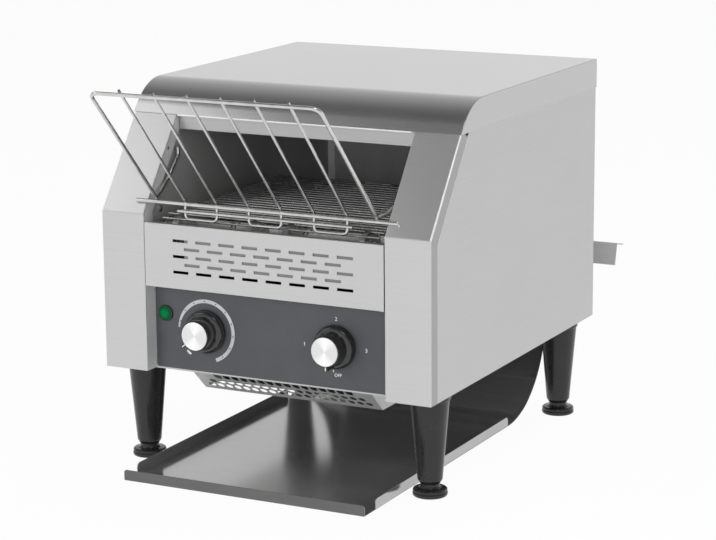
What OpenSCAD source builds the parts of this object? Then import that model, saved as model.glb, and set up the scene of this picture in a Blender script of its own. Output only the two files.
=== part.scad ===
// Countertop conveyor toaster.
// Design frame: X = 0 is the middle, Y = 0 the front face of the posts, Z = 0 the counter.
// +Y runs to the rear. place() moves the finished model so that its box is centred on the origin.

/* [Cabinet] */
// Width over the side panels
body_w = 368; // [340:1:420]
// Depth from the posts' front face to the rear panel
body_d = 418; // [400:1:480]
// Height of the flat top above the counter
body_top = 388; // [375:1:420]
// Height of the cabinet's underside above the counter
underside_z = 103; // [96:1:115]
// Thickness of the folded sheets
sheet = 1; // [0.8:0.1:1.2]
// Height of the posts' vertical face, up to the fold
post_front_h = 162.5; // [155:0.5:170]
// Lean of the posts' sloped face from the vertical, in degrees
slope_angle = 36.7; // [33:0.1:40]
// Width of a post's face
post_w = 49.5; // [44:0.5:56]
// Width of the post's flange on the cabinet's side
side_flange_w = 14; // [10:1:18]
// Depth of the post's return flange into the mouth
mouth_flange_w = 17.5; // [16.8:0.1:19]
// Open joint between neighbouring sheets
panel_gap = 0.5; // [0.3:0.1:0.8]

/* [Hood] */
// Thickness of the hood's sheet
hood_t = 0.8; // [0.6:0.1:1]
// Outer radius of the rounded hood
hood_r = 57; // [50:1:62]
// Height of the skirt below the flat top
skirt_h = 31; // [28:1:36]
// Width of the hem turned in under the hood's front edge
hem_w = 3; // [2:0.5:5]

/* [Chamber] */
// Distance from the flat top down to the chamber roof
roof_drop = 26; // [24:1:30]
// Height of the lintel strip over the mouth
lintel_h = 21; // [15:0.1:24]
// Gap between the lintel's upper edge and the hood
lintel_gap = 0.5; // [0.3:0.1:4]
// Distance of the chamber's rear wall from the rear panel's outside
rear_space = 17; // [14:1:20]
// Least depth of the drop between belt and rear wall
drop_min = 120; // [115:1:126]
// Height of the heat shield at its front, above the underside
shield_h = 109; // [106:1:110]
// Fall of the heat shield towards the drop
shield_fall = 8; // [5:1:10]
// Width of the strips in the chamber's rear corners
corner_w = 8; // [6:0.5:9]
// Distance from the belt's rear end to the drop's front wall
drop_gap = 12; // [8:1:16]

/* [Belt] */
// Pitch of the belt's wires
belt_pitch = 11; // [10.5:0.5:12]
// Radius of a belt wire
belt_wire_r = 1.1; // [0.9:0.05:1.2]
// Half thickness of the connecting loops
loop_wire_r = 0.9; // [0.8:0.05:1]
// Half width of a loop where it leaves its wire
loop_foot = 5; // [4.6:0.1:6]
// Bend radius of a loop's tip
loop_tip = 1.7; // [1.3:0.1:2]
// Distance of the outer loops from the belt's edges
loop_inset = 7.5; // [7.5:0.5:9]
// Teeth of the belt sprockets
belt_teeth = 12; // [12:4:12]
// Gap between belt and mouth flange, on each side
belt_side_gap = 12.5; // [10:0.5:15]
// Distance of the belt's front end from the posts' front
belt_front_gap = 5; // [4.5:0.1:7]
// Depth of the belt's surface below the posts' fold
belt_below_fold = 1.5; // [0.5:0.1:3]
// Radius of the axles
axle_r = 5; // [4:0.5:6]
// Width of a belt sprocket
sprocket_w = 6; // [4:0.5:8]

/* [Drive] */
// Pitch of the drive chain
chain_pitch = 6.35; // [6.35:0.01:6.35]
// Teeth of both chain sprockets
chain_teeth = 12; // [12:4:12]
// Chain pitches between axle and motor
chain_run = 16; // [15:1:16]
// Width of the gearbox
gearbox_w = 62; // [56:1:64]
// Thickness of the gearbox
gearbox_t = 24; // [20:1:28]
// Radius of the motor can
motor_r = 28; // [24:1:28]
// Length of the motor can
motor_l = 34; // [28:1:40]
// Side of the square cooling fan
fan_w = 80; // [70:1:80]
// Clearance between the control panel and the fan
fan_gap = 2.75; // [2:0.25:4]
// Thickness of the cooling fan
fan_t = 25; // [20:1:25]

/* [Heaters] */
// Radius of a quartz tube
tube_r = 5.25; // [4.5:0.05:5.5]
// Radius of a ceramic end cap
cap_r = 7; // [6.5:0.1:7.5]
// Length of a ceramic end cap
cap_l = 18; // [14:1:20]
// Tubes in each row
tube_count = 3; // [2:1:3]

/* [Front] */
// Height of the recessed control panel
control_h = 89; // [86:1:92]
// Depth of the control panel behind the posts' front
control_recess = 16.5; // [15.5:0.1:17]
// Thickness of the fascia plate
fascia_t = 0.8; // [0.5:0.1:1.2]
// Bare margin round the fascia plate
fascia_margin = 2; // [1:0.5:3]
// Width of a slot in the front panel
slot_w = 17.5; // [14:0.5:18]
// Height of a slot
slot_h = 2.8; // [2:0.1:3.2]
// Spacing of the slots across
slot_pitch_x = 26.4; // [24:0.1:27]
// Spacing of the slot rows
slot_pitch_z = 8; // [6:0.1:8.5]
// Slots in a long row
slots_long = 8; // [6:1:8]
// Rows of slots
slot_rows = 5; // [3:2:5]

/* [Knobs and lamp] */
// Distance of each knob from the side of the mouth
knob_inset = 61.1; // [54:0.1:68]
// Height of the knobs above the underside
knob_h = 44.6; // [40:0.1:46]
// Radius of the knob's skirt
knob_r = 22.5; // [18:0.5:23]
// Height of the knob over the fascia
knob_l = 24; // [20:0.5:26]
// Radius of the knob's front disc
knob_disc_r = 14.4; // [13:0.1:17]
// Radius of the control shafts
shaft_r = 3; // [2.5:0.1:3.2]
// Distance of the lamp from the side of the mouth
lamp_inset = 14; // [13:0.5:18]
// Height of the lamp above the underside
lamp_h = 59; // [55:0.5:62]
// Radius of the lamp's bezel
lamp_r = 8.5; // [8.5:0.5:9.5]
// Radius of the lamp's lens
lens_r = 7.2; // [6:0.1:7.4]

/* [Rear panel] */
// Radius of the cable inlet's body in the panel
gland_r = 9; // [8:0.5:11]
// Radius of the cable's hole
gland_hole = 4.5; // [3.5:0.1:5.5]
// Distance of the cable inlet from the cabinet's side
gland_inset = 40; // [30:1:60]
// Height of the cable inlet above the underside
gland_h = 22; // [18:1:32]
// Width of a louvre slot
louvre_w = 60; // [40:1:80]
// Height of a louvre slot
louvre_h = 4; // [3:0.5:5]
// Spacing of the louvre slots
louvre_pitch = 14; // [10:0.5:16]
// Slots in a column of louvres
louvre_count = 6; // [3:1:8]

/* [Vent] */
// Half width of the vent grille
vent_half = 102.7; // [95:0.1:105]
// Depth of the vent's ridge behind the posts' front
vent_ridge_y = 60.7; // [56:0.1:64]
// Drop of the vent's ridge below the underside
vent_drop = 27.2; // [24:0.1:30]
// Slope of the vent's face below the horizontal, in degrees
vent_slope = 42; // [38:1:46]
// Depth of the vent's rear edge
vent_rear_y = 100; // [99:1:108]
// Diameter of a vent hole
vent_hole = 7.5; // [5:0.1:7.8]
// Spacing of the vent holes across
vent_pitch = 10.05; // [9.5:0.05:11]
// Spacing of the vent's hole rows
vent_row = 8.7; // [8.4:0.1:9]
// Extra length of the holes in the vent's top row
vent_slot = 9; // [0:0.5:9]

/* [Rack] */
// Radius of the rack's frame wire and rest bar
frame_r = 2; // [1.6:0.1:2.2]
// Radius of the rack's feed wires and second bar
feed_r = 1.5; // [1.2:0.1:1.7]
// Lean of the rack from the horizontal, in degrees
rack_angle = 46.5; // [42:0.5:52]
// Length of the rack's legs
rack_leg = 167; // [150:1:180]
// Gap between the rack's legs and the mouth flange
rack_side_gap = 11; // [8:0.5:12]
// Length of the rest bar over each post
rack_rest = 11.5; // [8:0.5:14]
// Distance of the rest bar up the slope from the fold
rest_up = 14.2; // [12:0.1:18]
// Distance of the hook's hole up the slope from the fold
hook_up = 84.5; // [80:0.5:88]
// Depth of the hook's hole behind the sloped face
hook_depth = 17.6; // [17.2:0.1:19]
// Spacing of the feed wires
feed_pitch = 36.3; // [32:0.1:38]
// Feed wires
feed_count = 6; // [4:2:6]
// Bend radius of the frame's top corners
frame_bend = 9; // [6:0.5:12]
// Play between moving and fixed parts that bear on each other
play = 0.05; // [0.03:0.01:0.08]

/* [Toast tray] */
// Radius of the tray's rear curve, outside
tray_bend = 104; // [97:1:110]
// Reach of the tray's front lip before the posts
tray_reach = 47.5; // [40:0.5:60]
// Height of the tray's lip and side flanges
tray_lip = 11.3; // [9:0.1:14]
// Distance from the lip to the side flanges
tray_notch = 24; // [16:1:30]
// Height of the tray over the counter
tray_lift = 0.3; // [0.3:0.1:0.5]
// Distance of the tray's top edge below the underside
tray_below = 3; // [2:0.5:4]

/* [Legs] */
// Distance of the legs' centres from the cabinet's sides
leg_inset = 22; // [21.5:0.1:24]
// Distance of the front legs from the posts' front
leg_front = 44; // [40:1:48]
// Distance of the rear legs from the rear panel
leg_rear = 45; // [40:1:48]
// Radius of a leg at its top
leg_top_r = 20; // [17:0.5:20.5]
// Radius of a leg at its bottom
leg_foot_r = 12.6; // [11:0.1:14]
// Radius of a foot
foot_r = 17.5; // [15:0.5:19]
// Thickness of a foot
foot_t = 8; // [6:0.5:9]
// Height of the neck between foot and leg
neck_h = 5; // [4:0.5:7]
// Radius of the neck
neck_r = 9.75; // [9:0.05:10]
// Radius of the foot's screw
screw_r = 5; // [4:0.5:6]

/* [Rear bracket] */
// Distance of the bracket's bar from the rear panel
spacer_reach = 66; // [60:1:80]
// Height of the bar's lower edge above the underside
spacer_h = 43; // [38:1:48]
// Height of the bar
spacer_w = 24; // [18:1:26]
// Width of the bar's folded top
spacer_flange = 20; // [14:1:24]

/* [Hidden] */
$fn = 48;
tiny = 0.01;
seat = 0.3;           // gap between surfaces of different bodies that rest on each other

// --- heights and depths that follow from the driving sizes
fold_z = underside_z + post_front_h;
slope_dir = [sin(slope_angle), cos(slope_angle)];      // up the sloped face, as [y, z]
slope_out = [-cos(slope_angle), sin(slope_angle)];     // away from the sloped face
skirt_z = body_top - skirt_h;
roof_z = body_top - roof_drop;
mouth_half = body_w / 2 - post_w;                      // inner face of the mouth flanges
wall_in = mouth_half + sheet;                          // inner face of the chamber walls
wall_out = wall_in + sheet;
panel_in = body_w / 2 - sheet;                         // inner face of the side panels
base_z = underside_z + sheet;
lintel_y = (roof_z - fold_z) * tan(slope_angle) + lintel_gap;
chamber_rear = body_d - rear_space;
control_top = underside_z + control_h;

belt_r = belt_pitch / (2 * sin(180 / belt_teeth));     // pitch radius of the belt sprockets
belt_half = mouth_half - belt_side_gap;
belt_end = belt_r + belt_wire_r;                       // outer radius of the belt on its sprockets
axle_z = fold_z - belt_below_fold - belt_end;
front_axle_y = belt_front_gap + belt_end;
belt_run = floor((chamber_rear - drop_min - belt_front_gap - 2 * belt_end) / belt_pitch);
rear_axle_y = front_axle_y + belt_run * belt_pitch;
belt_top = axle_z + belt_end;
drop_front = rear_axle_y + belt_end + drop_gap;        // front wall of the drop
loop_x = [-(belt_half - loop_inset), -belt_half / 3, belt_half / 3, belt_half - loop_inset];
sprocket_outer = belt_half - loop_inset - loop_foot - loop_wire_r - sprocket_w / 2 - 1;
sprocket_x = [-sprocket_outer, -belt_half / 6, belt_half / 6, sprocket_outer];

chain_r = chain_pitch / (2 * sin(180 / chain_teeth));
roller_r = 1.65;
chain_x = wall_out + 21;                               // middle plane of the chain
motor_z = axle_z - chain_run * chain_pitch;
motor_shaft_r = 4;
bush_r = axle_r + 3;
bush_flange_r = bush_r + 3;
bush_l = 6;

fascia_y = control_recess - fascia_t;                  // front of the fascia plate
perf_top = fold_z - 7.7;
slot_mid = (control_top + perf_top) / 2 + 0.5;         // height of the middle row of slots
knob_x = mouth_half - knob_inset;
lamp_x = mouth_half - lamp_inset;
knob_z = underside_z + knob_h;
lamp_z = underside_z + lamp_h;
fan_y = control_recess + sheet + fan_gap + fan_w / 2;

vent_z = underside_z - vent_drop;
vent_front_y = vent_ridge_y - vent_drop / tan(vent_slope);
vent_face = vent_drop / sin(vent_slope);

rest_bar = slope_point(rest_up) + slope_out * (frame_r + seat / 2);
hook = slope_point(hook_up, hook_depth);
rack_up = [-cos(rack_angle), sin(rack_angle)];
rack_in = [sin(rack_angle), cos(rack_angle)];          // from the rack's plane to the machine
rack_half = mouth_half - rack_side_gap;
rack_low = rest_bar + [0.1, 0.995] * (2 * frame_r);
rack_top = rack_low + rack_up * rack_leg;
feed_half = (feed_count - 1) / 2 * feed_pitch;

tray_half = mouth_half + 1.3;
tray_rear = chamber_rear - seat;                       // outside of the tray's upright edge
tray_flat = tray_rear - tray_bend;
tray_top = underside_z - tray_below;

leg_x = body_w / 2 - leg_inset;
leg_ys = [leg_front, body_d - leg_rear];
leg_bottom = foot_t + neck_h;
baffle_side = 20;                                      // from the baffle's edges to the mouth's side and top
baffle_top = 8;
lintel_hem = 7;                                        // the lintel's lower and upper flanges
lintel_flange = 14;
panel_lap = 19;                                        // height of the side panels under the hood's skirt
panel_flange = 12;
terminal = [70, 18, 16];
screw_inset = 8;
flange_hole_up = 78;
flange_screw_up = 20;
flange_screw_in = 27;
spacer_screw_in = 20;

spacer_y = body_d + spacer_reach;
spacer_z = underside_z + spacer_h;
spacer_rear = spacer_y + 6 + spacer_flange;

box_front = rack_top[0] - frame_r;
centre_y = (box_front + spacer_rear) / 2;

gland_x = -body_w / 2 + gland_inset;
gland_z = underside_z + gland_h;
control_bush_r = shaft_r + 1.8;
nut_t = 2.2;
fan_hub_r = 17;

// --- colours
steel = "gainsboro";
dull_steel = "darkgray";
dark_steel = "dimgray";
plastic = "#2b2b2d";

// ---------------------------------------------------------------- helpers

// Point [y, z] up the sloped face from the fold, and behind the face
function slope_point(up, depth = 0) = [0, fold_z] + slope_dir * up - slope_out * depth;

function unit(v) = v / norm(v);
function left_of(v) = [-v[1], v[0]];

// A path moved sideways by t, to its left, with mitred corners
function beside(path, t) = [
    for (i = [0:len(path) - 1])
        let (before = unit(i > 0 ? path[i] - path[i - 1] : path[1] - path[0]),
             after = i < len(path) - 1 ? unit(path[i + 1] - path[i]) : before,
             mean = unit(before + after))
        path[i] + left_of(mean) * t / (mean * before)
];

// Outline of a folded sheet: its path and the path beside it
module folded(path, t = sheet) {
    other = beside(path, t);
    polygon(concat(path, [for (i = [len(path) - 1:-1:0]) other[i]]));
}

// Extrudes a [y, z] outline from x0 to x1
module along_x(x0, x1) {
    translate([x0, 0, 0]) rotate([90, 0, 90]) linear_extrude(x1 - x0) children();
}

// Extrudes an [x, z] outline from y0 back to y1
module along_y(y0, y1) {
    translate([0, y1, 0]) rotate([90, 0, 0]) linear_extrude(y1 - y0) children();
}

module both_sides() {
    children();
    mirror([1, 0, 0]) children();
}

module place() {
    translate([0, -centre_y, 0]) children();
}

// Cylinder along +X from x0 to x1 round [y, z]
module bar_x(x0, x1, yz, r) {
    translate([x0, yz[0], yz[1]]) rotate([0, 90, 0]) cylinder(r = r, h = x1 - x0);
}

// Cylinder along -Y, standing on y0
module boss_y(x, z, y0, h, r) {
    translate([x, y0, z]) rotate([90, 0, 0]) cylinder(r = r, h = h);
}

// Straight wire between two points
module rod(a, b, r) {
    d = b - a;
    translate(a) rotate([0, acos(d[2] / norm(d)), atan2(d[1], d[0])]) cylinder(r = r, h = norm(d), $fn = 24);
}

// Wire along a path, with a ball at each bend
module wire(path, r) {
    for (i = [0:len(path) - 2]) rod(path[i], path[i + 1], r);
    for (i = [1:len(path) - 2]) translate(path[i]) sphere(r + tiny * 4, $fn = 24);
}

// Wire arch in the XY plane: two legs along +Y, joined at the far end
module wire_arch(half, height, bend, r) {
    both_sides() {
        translate([half, 0, 0]) rotate([-90, 0, 0]) cylinder(r = r, h = height - bend, $fn = 24);
        translate([half - bend, height - bend, 0])
            rotate_extrude(angle = 90, $fn = 48) translate([bend, 0]) circle(r, $fn = 24);
    }
    translate([-(half - bend), height, 0]) rotate([0, 90, 0])
        cylinder(r = r, h = 2 * (half - bend), $fn = 24);
}

// Pose [u, w, angle] of link i on a loop round two sprockets, run pitches apart
function loop_pose(i, run, half_teeth, pitch, r) =
    i < run ? [i * pitch, r, 0]
    : i < run + half_teeth ?
        let (a = 90 - (i - run) * 180 / half_teeth)
        [run * pitch + r * cos(a), r * sin(a), a - 90 - 90 / half_teeth]
    : i < 2 * run + half_teeth ? [(2 * run + half_teeth - i) * pitch, -r, 180]
    : let (a = -90 - (i - 2 * run - half_teeth) * 180 / half_teeth)
      [r * cos(a), r * sin(a), a - 90 - 90 / half_teeth];

// Sprocket outline with one round seat per tooth, the first on +Y, and room for what leaves it
module sprocket_outline(teeth, pitch_r, tip, seat_r, bore_r) {
    difference() {
        circle(pitch_r + tip);
        for (i = [0:teeth - 1], s = [-1, 0, 1])
            rotate(i * 360 / teeth) translate([s * 2 * pitch_r * sin(180 / teeth), pitch_r])
                circle(seat_r, $fn = 24);
        circle(bore_r);
    }
}

// ---------------------------------------------------------------- cabinet

// Side outline of the hood, moved inwards by t
module hood_outline(t) {
    top = body_top - t;
    shift = hood_t - t;                                  // the hood stands proud of the sloped faces
    slope_at = function (z) (z - fold_z) * tan(slope_angle) - shift / cos(slope_angle);
    corner_y = slope_at(top);
    tangent = (hood_r - t) * tan((90 - slope_angle) / 2);
    low = skirt_z - t * 40;
    intersection() {
        union() {
            polygon([[slope_at(low), low],
                     [slope_at(top) - tangent * slope_dir[0], top - tangent * slope_dir[1]],
                     [corner_y + tangent, top], [body_d + hood_t - t, top], [body_d + hood_t - t, low]]);
            translate([corner_y + tangent, top - hood_r + t]) circle(hood_r - t, $fn = 96);
        }
        translate([-hood_r, low]) square([body_d + 2 * hood_r, body_top - low]);
    }
}

module top_cover() color(steel) {
    difference() {
        along_x(-body_w / 2 - hood_t, body_w / 2 + hood_t) hood_outline(0);
        along_x(-body_w / 2, body_w / 2) hood_outline(hood_t);
    }
    hem_y = (skirt_z - fold_z) * tan(slope_angle);
    along_x(-mouth_half + panel_gap, mouth_half - panel_gap)
        translate([hem_y, skirt_z]) square([hem_w, hood_t]);
}

// One post, on the +X side
module front_post() {
    slope_end = (roof_z - panel_gap - fold_z) / cos(slope_angle);
    path = [[0, underside_z], [0, fold_z], slope_point(slope_end)];
    shifted = function (w) [for (p = path) p + [w, 0]];
    along_x(mouth_half, body_w / 2) folded([path[2], path[1], path[0]]);
    along_x(body_w / 2 - sheet, body_w / 2) folded([path[2], path[1], path[0]], side_flange_w);
    difference() {
        along_x(mouth_half, mouth_half + sheet)
            polygon(concat(path, [for (i = [2:-1:0]) shifted(mouth_flange_w)[i]]));
        bar_x(mouth_half - 1, mouth_half + 2 * sheet, slope_point(flange_hole_up, 5), 1.6);
    }
}

module left_front_post() color(steel) mirror([1, 0, 0]) front_post();
module right_front_post() color(steel) front_post();

// One side panel, on the +X side, with a return flange at the rear
module side_panel() {
    seam = side_flange_w + panel_gap;
    slope_end = slope_point((skirt_z + panel_lap - fold_z) / cos(slope_angle));
    front = beside([slope_end, [0, fold_z], [0, underside_z]], seam);
    top = front[0][1];
    along_x(panel_in, body_w / 2)
        polygon(concat(front, [[body_d - sheet, underside_z], [body_d - sheet, top]]));
    translate([panel_in - panel_flange, body_d - 2 * sheet, base_z + panel_flange])
        cube([panel_flange + sheet, sheet, top - base_z - panel_flange]);
}

module left_side_panel() color(steel) mirror([1, 0, 0]) side_panel();
module right_side_panel() color(steel) side_panel();

module base_plate() color(dull_steel) {
    front = control_recess + sheet;
    flange_h = 10;
    difference() {
        union() {
            translate([-panel_in, front, underside_z]) cube([2 * panel_in, body_d - sheet - front, sheet]);
            both_sides() {
                translate([wall_in, sheet, underside_z]) cube([panel_in - wall_in, front, sheet]);
                translate([panel_in - sheet, side_flange_w, underside_z])
                    cube([sheet, body_d - 3 * sheet - side_flange_w, flange_h]);
            }
        }
        translate([-wall_in, drop_front - sheet, underside_z - 1])
            cube([2 * wall_in, chamber_rear + sheet - drop_front + sheet, 2 + sheet]);
        translate([0, fan_y, underside_z - 1]) cylinder(r = fan_w / 2 - 2, h = 2 + sheet);
        for (x = [-1, 1], y = leg_ys)
            translate([x * leg_x, y, underside_z - 1]) cylinder(r = 4.2, h = 2 + sheet);
    }
}

module rear_panel() color(steel) {
    top = body_top - hood_t - panel_gap;
    difference() {
        along_y(body_d - sheet, body_d) difference() {
            translate([-body_w / 2, underside_z]) square([body_w, top - underside_z]);
            for (column = [-1, 1], row = [0:louvre_count - 1])
                translate([column * (louvre_w / 2 + 25), underside_z + 130 + row * louvre_pitch]) {
                    square([louvre_w, louvre_h], center = true);
                    for (end = [-1, 1]) translate([end * louvre_w / 2, 0]) circle(louvre_h / 2);
                }
        }
        boss_y(gland_x, gland_z, body_d + 1, 2 + sheet, gland_r);
    }
}

module cable_inlet() color(plastic) difference() {
    union() {
        boss_y(gland_x, gland_z, body_d + 10, 10, gland_r + 2.5);
        boss_y(gland_x, gland_z, body_d + tiny, 6, gland_r - play);
        boss_y(gland_x, gland_z, body_d - sheet, 4, gland_r + 2.5);
    }
    boss_y(gland_x, gland_z, body_d + 11, 20, gland_hole);
}

// ---------------------------------------------------------------- front

module perforated_panel() color(steel) {
    half = mouth_half - panel_gap;
    difference() {
        along_x(-half, half)
            folded([[6, perf_top], [0, perf_top], [0, control_top], [control_recess, control_top]]);
        for (row = [0:slot_rows - 1]) {
            count = slots_long - row % 2;
            for (i = [0:count - 1])
                translate([(i - (count - 1) / 2) * slot_pitch_x, 0,
                           slot_mid + ((slot_rows - 1) / 2 - row) * slot_pitch_z])
                    cube([slot_w, 3 * sheet, slot_h], center = true);
        }
    }
}

// Plate behind the slots; the lowest row and the left end stay open
module front_baffle() color(dull_steel) {
    low = slot_mid - (slot_rows - 1) / 2 * slot_pitch_z + slot_pitch_z / 2;
    left = -(slots_long - 2) / 2 * slot_pitch_x - slot_w / 2 - seat;
    translate([left, sheet, low]) cube([mouth_half - baffle_side - left, sheet, perf_top - baffle_top - low]);
}

module rounded_plate(w, h, r) {
    translate([r, 0]) square([w - 2 * r, h]);
    translate([0, r]) square([w, h - 2 * r]);
    for (x = [r, w - r], y = [r, h - r]) translate([x, y]) circle(r);
}

module control_panel() color(steel) difference() {
    along_y(control_recess, control_recess + sheet) difference() {
        translate([-mouth_half, underside_z]) square([2 * mouth_half, control_h]);
        for (s = [-1, 1]) translate([s * knob_x, knob_z]) circle(control_bush_r + play);
        translate([-lamp_x, lamp_z]) circle(lens_r + 0.7 + play);
    }
}

module control_fascia() color("#4a4c50") along_y(fascia_y, control_recess) difference() {
    translate([-mouth_half + fascia_margin, underside_z + fascia_margin])
        rounded_plate(2 * (mouth_half - fascia_margin), control_h - 2 * fascia_margin, 3);
    for (s = [-1, 1]) translate([s * knob_x, knob_z]) circle(control_bush_r + play);
    translate([-lamp_x, lamp_z]) circle(lens_r + 0.7 + play);
}

module lamp_bezel() color(plastic) difference() {
    union() {
        boss_y(-lamp_x, lamp_z, fascia_y, 2, lamp_r);
        boss_y(-lamp_x, lamp_z, control_recess + 16, 16 + fascia_t, lens_r + 0.7);
    }
    boss_y(-lamp_x, lamp_z, control_recess + 12, 12 + 4, lens_r);
}

module lamp_lens() color("green") {
    boss_y(-lamp_x, lamp_z, control_recess + 6, 6 + fascia_t + 2, lens_r);
    dome_r = 12;
    intersection() {
        translate([-lamp_x, fascia_y - 2 + sqrt(dome_r * dome_r - lens_r * lens_r), lamp_z]) sphere(dome_r);
        boss_y(-lamp_x, lamp_z, fascia_y - 1, 6, lens_r);
    }
}

// Shaft bush and nut of a control, at the middle of the knob's axis
module control_bush(x) {
    difference() {
        union() {
            boss_y(x, knob_z, control_recess + sheet, sheet + fascia_t + nut_t + 1.5, control_bush_r);
            boss_y(x, knob_z, fascia_y, nut_t, 7.5, $fn = 6);
        }
        boss_y(x, knob_z, control_recess + sheet + 1, 10, shaft_r + play);
    }
}

module speed_control() color(dull_steel) {
    control_bush(-knob_x);
    difference() {
        boss_y(-knob_x, knob_z, control_recess + sheet + 12, 12, 12.5);
        boss_y(-knob_x, knob_z, control_recess + sheet + 9, 10, shaft_r + play);
    }
}

module mode_switch() color(dark_steel) {
    control_bush(knob_x);
    difference() {
        translate([knob_x - 15, control_recess + sheet, knob_z - 15]) cube([30, 24, 30]);
        boss_y(knob_x, knob_z, control_recess + sheet + 9, 10, shaft_r + play);
    }
}

// Knob round the local Z axis, its back on Z = 0
module knob_shape() {
    skirt = 5;
    grip_r = knob_disc_r + 2.4;
    difference() {
        union() {
            rotate_extrude() {
                square([knob_r, 2]);
                translate([0, 2]) square([knob_r - 2, skirt - 2]);
                intersection() {
                    translate([knob_r - 3, 2]) circle(3);
                    square([knob_r, skirt]);
                }
                polygon([[0, skirt - 1], [grip_r, skirt - 1], [knob_disc_r + 1.2, knob_l - 1.2],
                         [knob_disc_r + 0.6, knob_l - 0.3], [0, knob_l - 0.3]]);
            }
        }
        translate([0, 0, -1]) cylinder(r = 9.5, h = 1 + 5.2);
        translate([0, 0, 1]) cylinder(r = shaft_r, h = knob_l - 6);
        translate([0, 0, knob_l - 1]) cylinder(r = knob_disc_r, h = 2);
    }
}

module at_knob(x) {
    translate([x, fascia_y - seat, knob_z]) rotate([90, 0, 0]) children();
}

module knob_disc() translate([0, 0, knob_l - 1]) cylinder(r = knob_disc_r, h = 1);
module control_shaft() {
    back = seat + fascia_t + sheet + 7;
    translate([0, 0, -back]) cylinder(r = shaft_r, h = back + knob_l - 5);
}

module speed_knob() color(plastic) at_knob(-knob_x) knob_shape();
module speed_knob_disc() color(steel) at_knob(-knob_x) knob_disc();
module speed_shaft() color(steel) at_knob(-knob_x) control_shaft();
module mode_knob() color(plastic) at_knob(knob_x) knob_shape();
module mode_knob_disc() color(steel) at_knob(knob_x) knob_disc();
module mode_shaft() color(steel) at_knob(knob_x) control_shaft();

// Hole of a given width, made longer by extra along -Y
module oblong(width, extra) {
    circle(d = width);
    if (extra > 0) {
        translate([0, -extra]) circle(d = width);
        translate([-width / 2, -extra]) square([width, extra]);
    }
}

module vent_grille() color(dull_steel) {
    long_row = floor((2 * vent_half - 12) / vent_pitch);
    difference() {
        along_x(-vent_half, vent_half)
            folded([[control_recess + sheet + 1, underside_z], [vent_front_y, underside_z],
                    [vent_ridge_y, vent_z]], -sheet);
        translate([0, vent_ridge_y, vent_z]) rotate([-vent_slope, 0, 0])
            translate([0, 0, -4]) linear_extrude(8) for (row = [0:2]) {
                count = long_row - [0, 1, 3][row];
                for (i = [0:count - 1])
                    translate([(i - (count - 1) / 2) * vent_pitch, -9 - row * vent_row])
                        oblong(vent_hole, row == 2 ? vent_slot : 0);
            }
    }
    both_sides() along_x(vent_half - sheet, vent_half)
        polygon([[vent_front_y, underside_z], [vent_ridge_y, vent_z], [vent_rear_y, vent_z],
                 [vent_rear_y, underside_z]]);
    translate([-vent_half, vent_rear_y - sheet, vent_z]) cube([2 * vent_half, sheet, vent_drop]);
}

// ---------------------------------------------------------------- chamber

module lintel() color(steel) {
    half = mouth_half - panel_gap;
    low = roof_z - lintel_h;
    along_x(-half, half)
        folded([[lintel_y + lintel_hem, low], [lintel_y, low], [lintel_y, roof_z],
                [lintel_y + lintel_flange, roof_z]], -sheet);
}

tube_pitch_upper = (chamber_rear - lintel_y - 60) / 4;
function upper_tube_y(i) = lintel_y + 44 + i * tube_pitch_upper;
function lower_tube_y(i) = front_axle_y + (rear_axle_y - front_axle_y) * (i + 1) / (tube_count + 1);
upper_tube_z = roof_z - 12;

// Chamber wall on the +X side; motor adds the motor's shaft hole
module chamber_wall(motor) {
    front = 10;
    slope_end = (roof_z - fold_z) / cos(slope_angle);
    difference() {
        along_x(wall_in, wall_out)
            polygon([[front, base_z], [front, fold_z], slope_point(slope_end) + [front, 0],
                     [chamber_rear + sheet, roof_z], [chamber_rear + sheet, base_z]]);
        for (y = [front_axle_y, rear_axle_y]) bar_x(wall_in - 1, wall_out + 1, [y, axle_z], bush_r + play);
        for (i = [0:tube_count - 1]) {
            bar_x(wall_in - 1, wall_out + 1, [lower_tube_y(i), axle_z], cap_r + play);
            bar_x(wall_in - 1, wall_out + 1, [upper_tube_y(i), upper_tube_z], cap_r + play);
        }
        bar_x(wall_in - 1, wall_out + 1, hook, frame_r + play);
        if (motor) bar_x(wall_in - 1, wall_out + 1, [rear_axle_y, motor_z], motor_shaft_r + 2);
    }
}

module chamber_left_wall() color(dark_steel) mirror([1, 0, 0]) chamber_wall(false);
module chamber_right_wall() color(dark_steel) chamber_wall(true);

module chamber_roof() color(dark_steel)
    translate([-wall_out, lintel_y + sheet, roof_z]) cube([2 * wall_out, chamber_rear - lintel_y, sheet]);

module chamber_rear_wall() color(dark_steel)
    translate([-wall_in, chamber_rear, underside_z - 6]) cube([2 * wall_in, sheet, roof_z - underside_z + 6]);

// Strips that cover the corners between the side walls and the rear wall
module chamber_corner_strips() color(steel) both_sides()
    translate([wall_in - corner_w, chamber_rear - sheet, base_z + sheet])
        cube([corner_w, sheet, roof_z - base_z - sheet]);

module heat_shield() color(dark_steel) difference() {
    along_x(-wall_in, wall_in)
        folded([[sheet + seat, underside_z + shield_h], [drop_front, underside_z + shield_h - shield_fall],
                [drop_front, underside_z]], -sheet);
    both_sides() along_x(mouth_half - panel_gap, wall_in + 1)
        translate([0, underside_z]) square([mouth_flange_w + panel_gap, shield_h + 1]);
}

module tubes(ys, z) {
    reach = wall_out + cap_l - 6;
    for (y = ys) bar_x(-reach, reach, [y, z], tube_r);
}

module upper_heater_tubes() color("white")
    tubes([for (i = [0:tube_count - 1]) upper_tube_y(i)], upper_tube_z);
module lower_heater_tubes() color("white")
    tubes([for (i = [0:tube_count - 1]) lower_tube_y(i)], axle_z);

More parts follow.
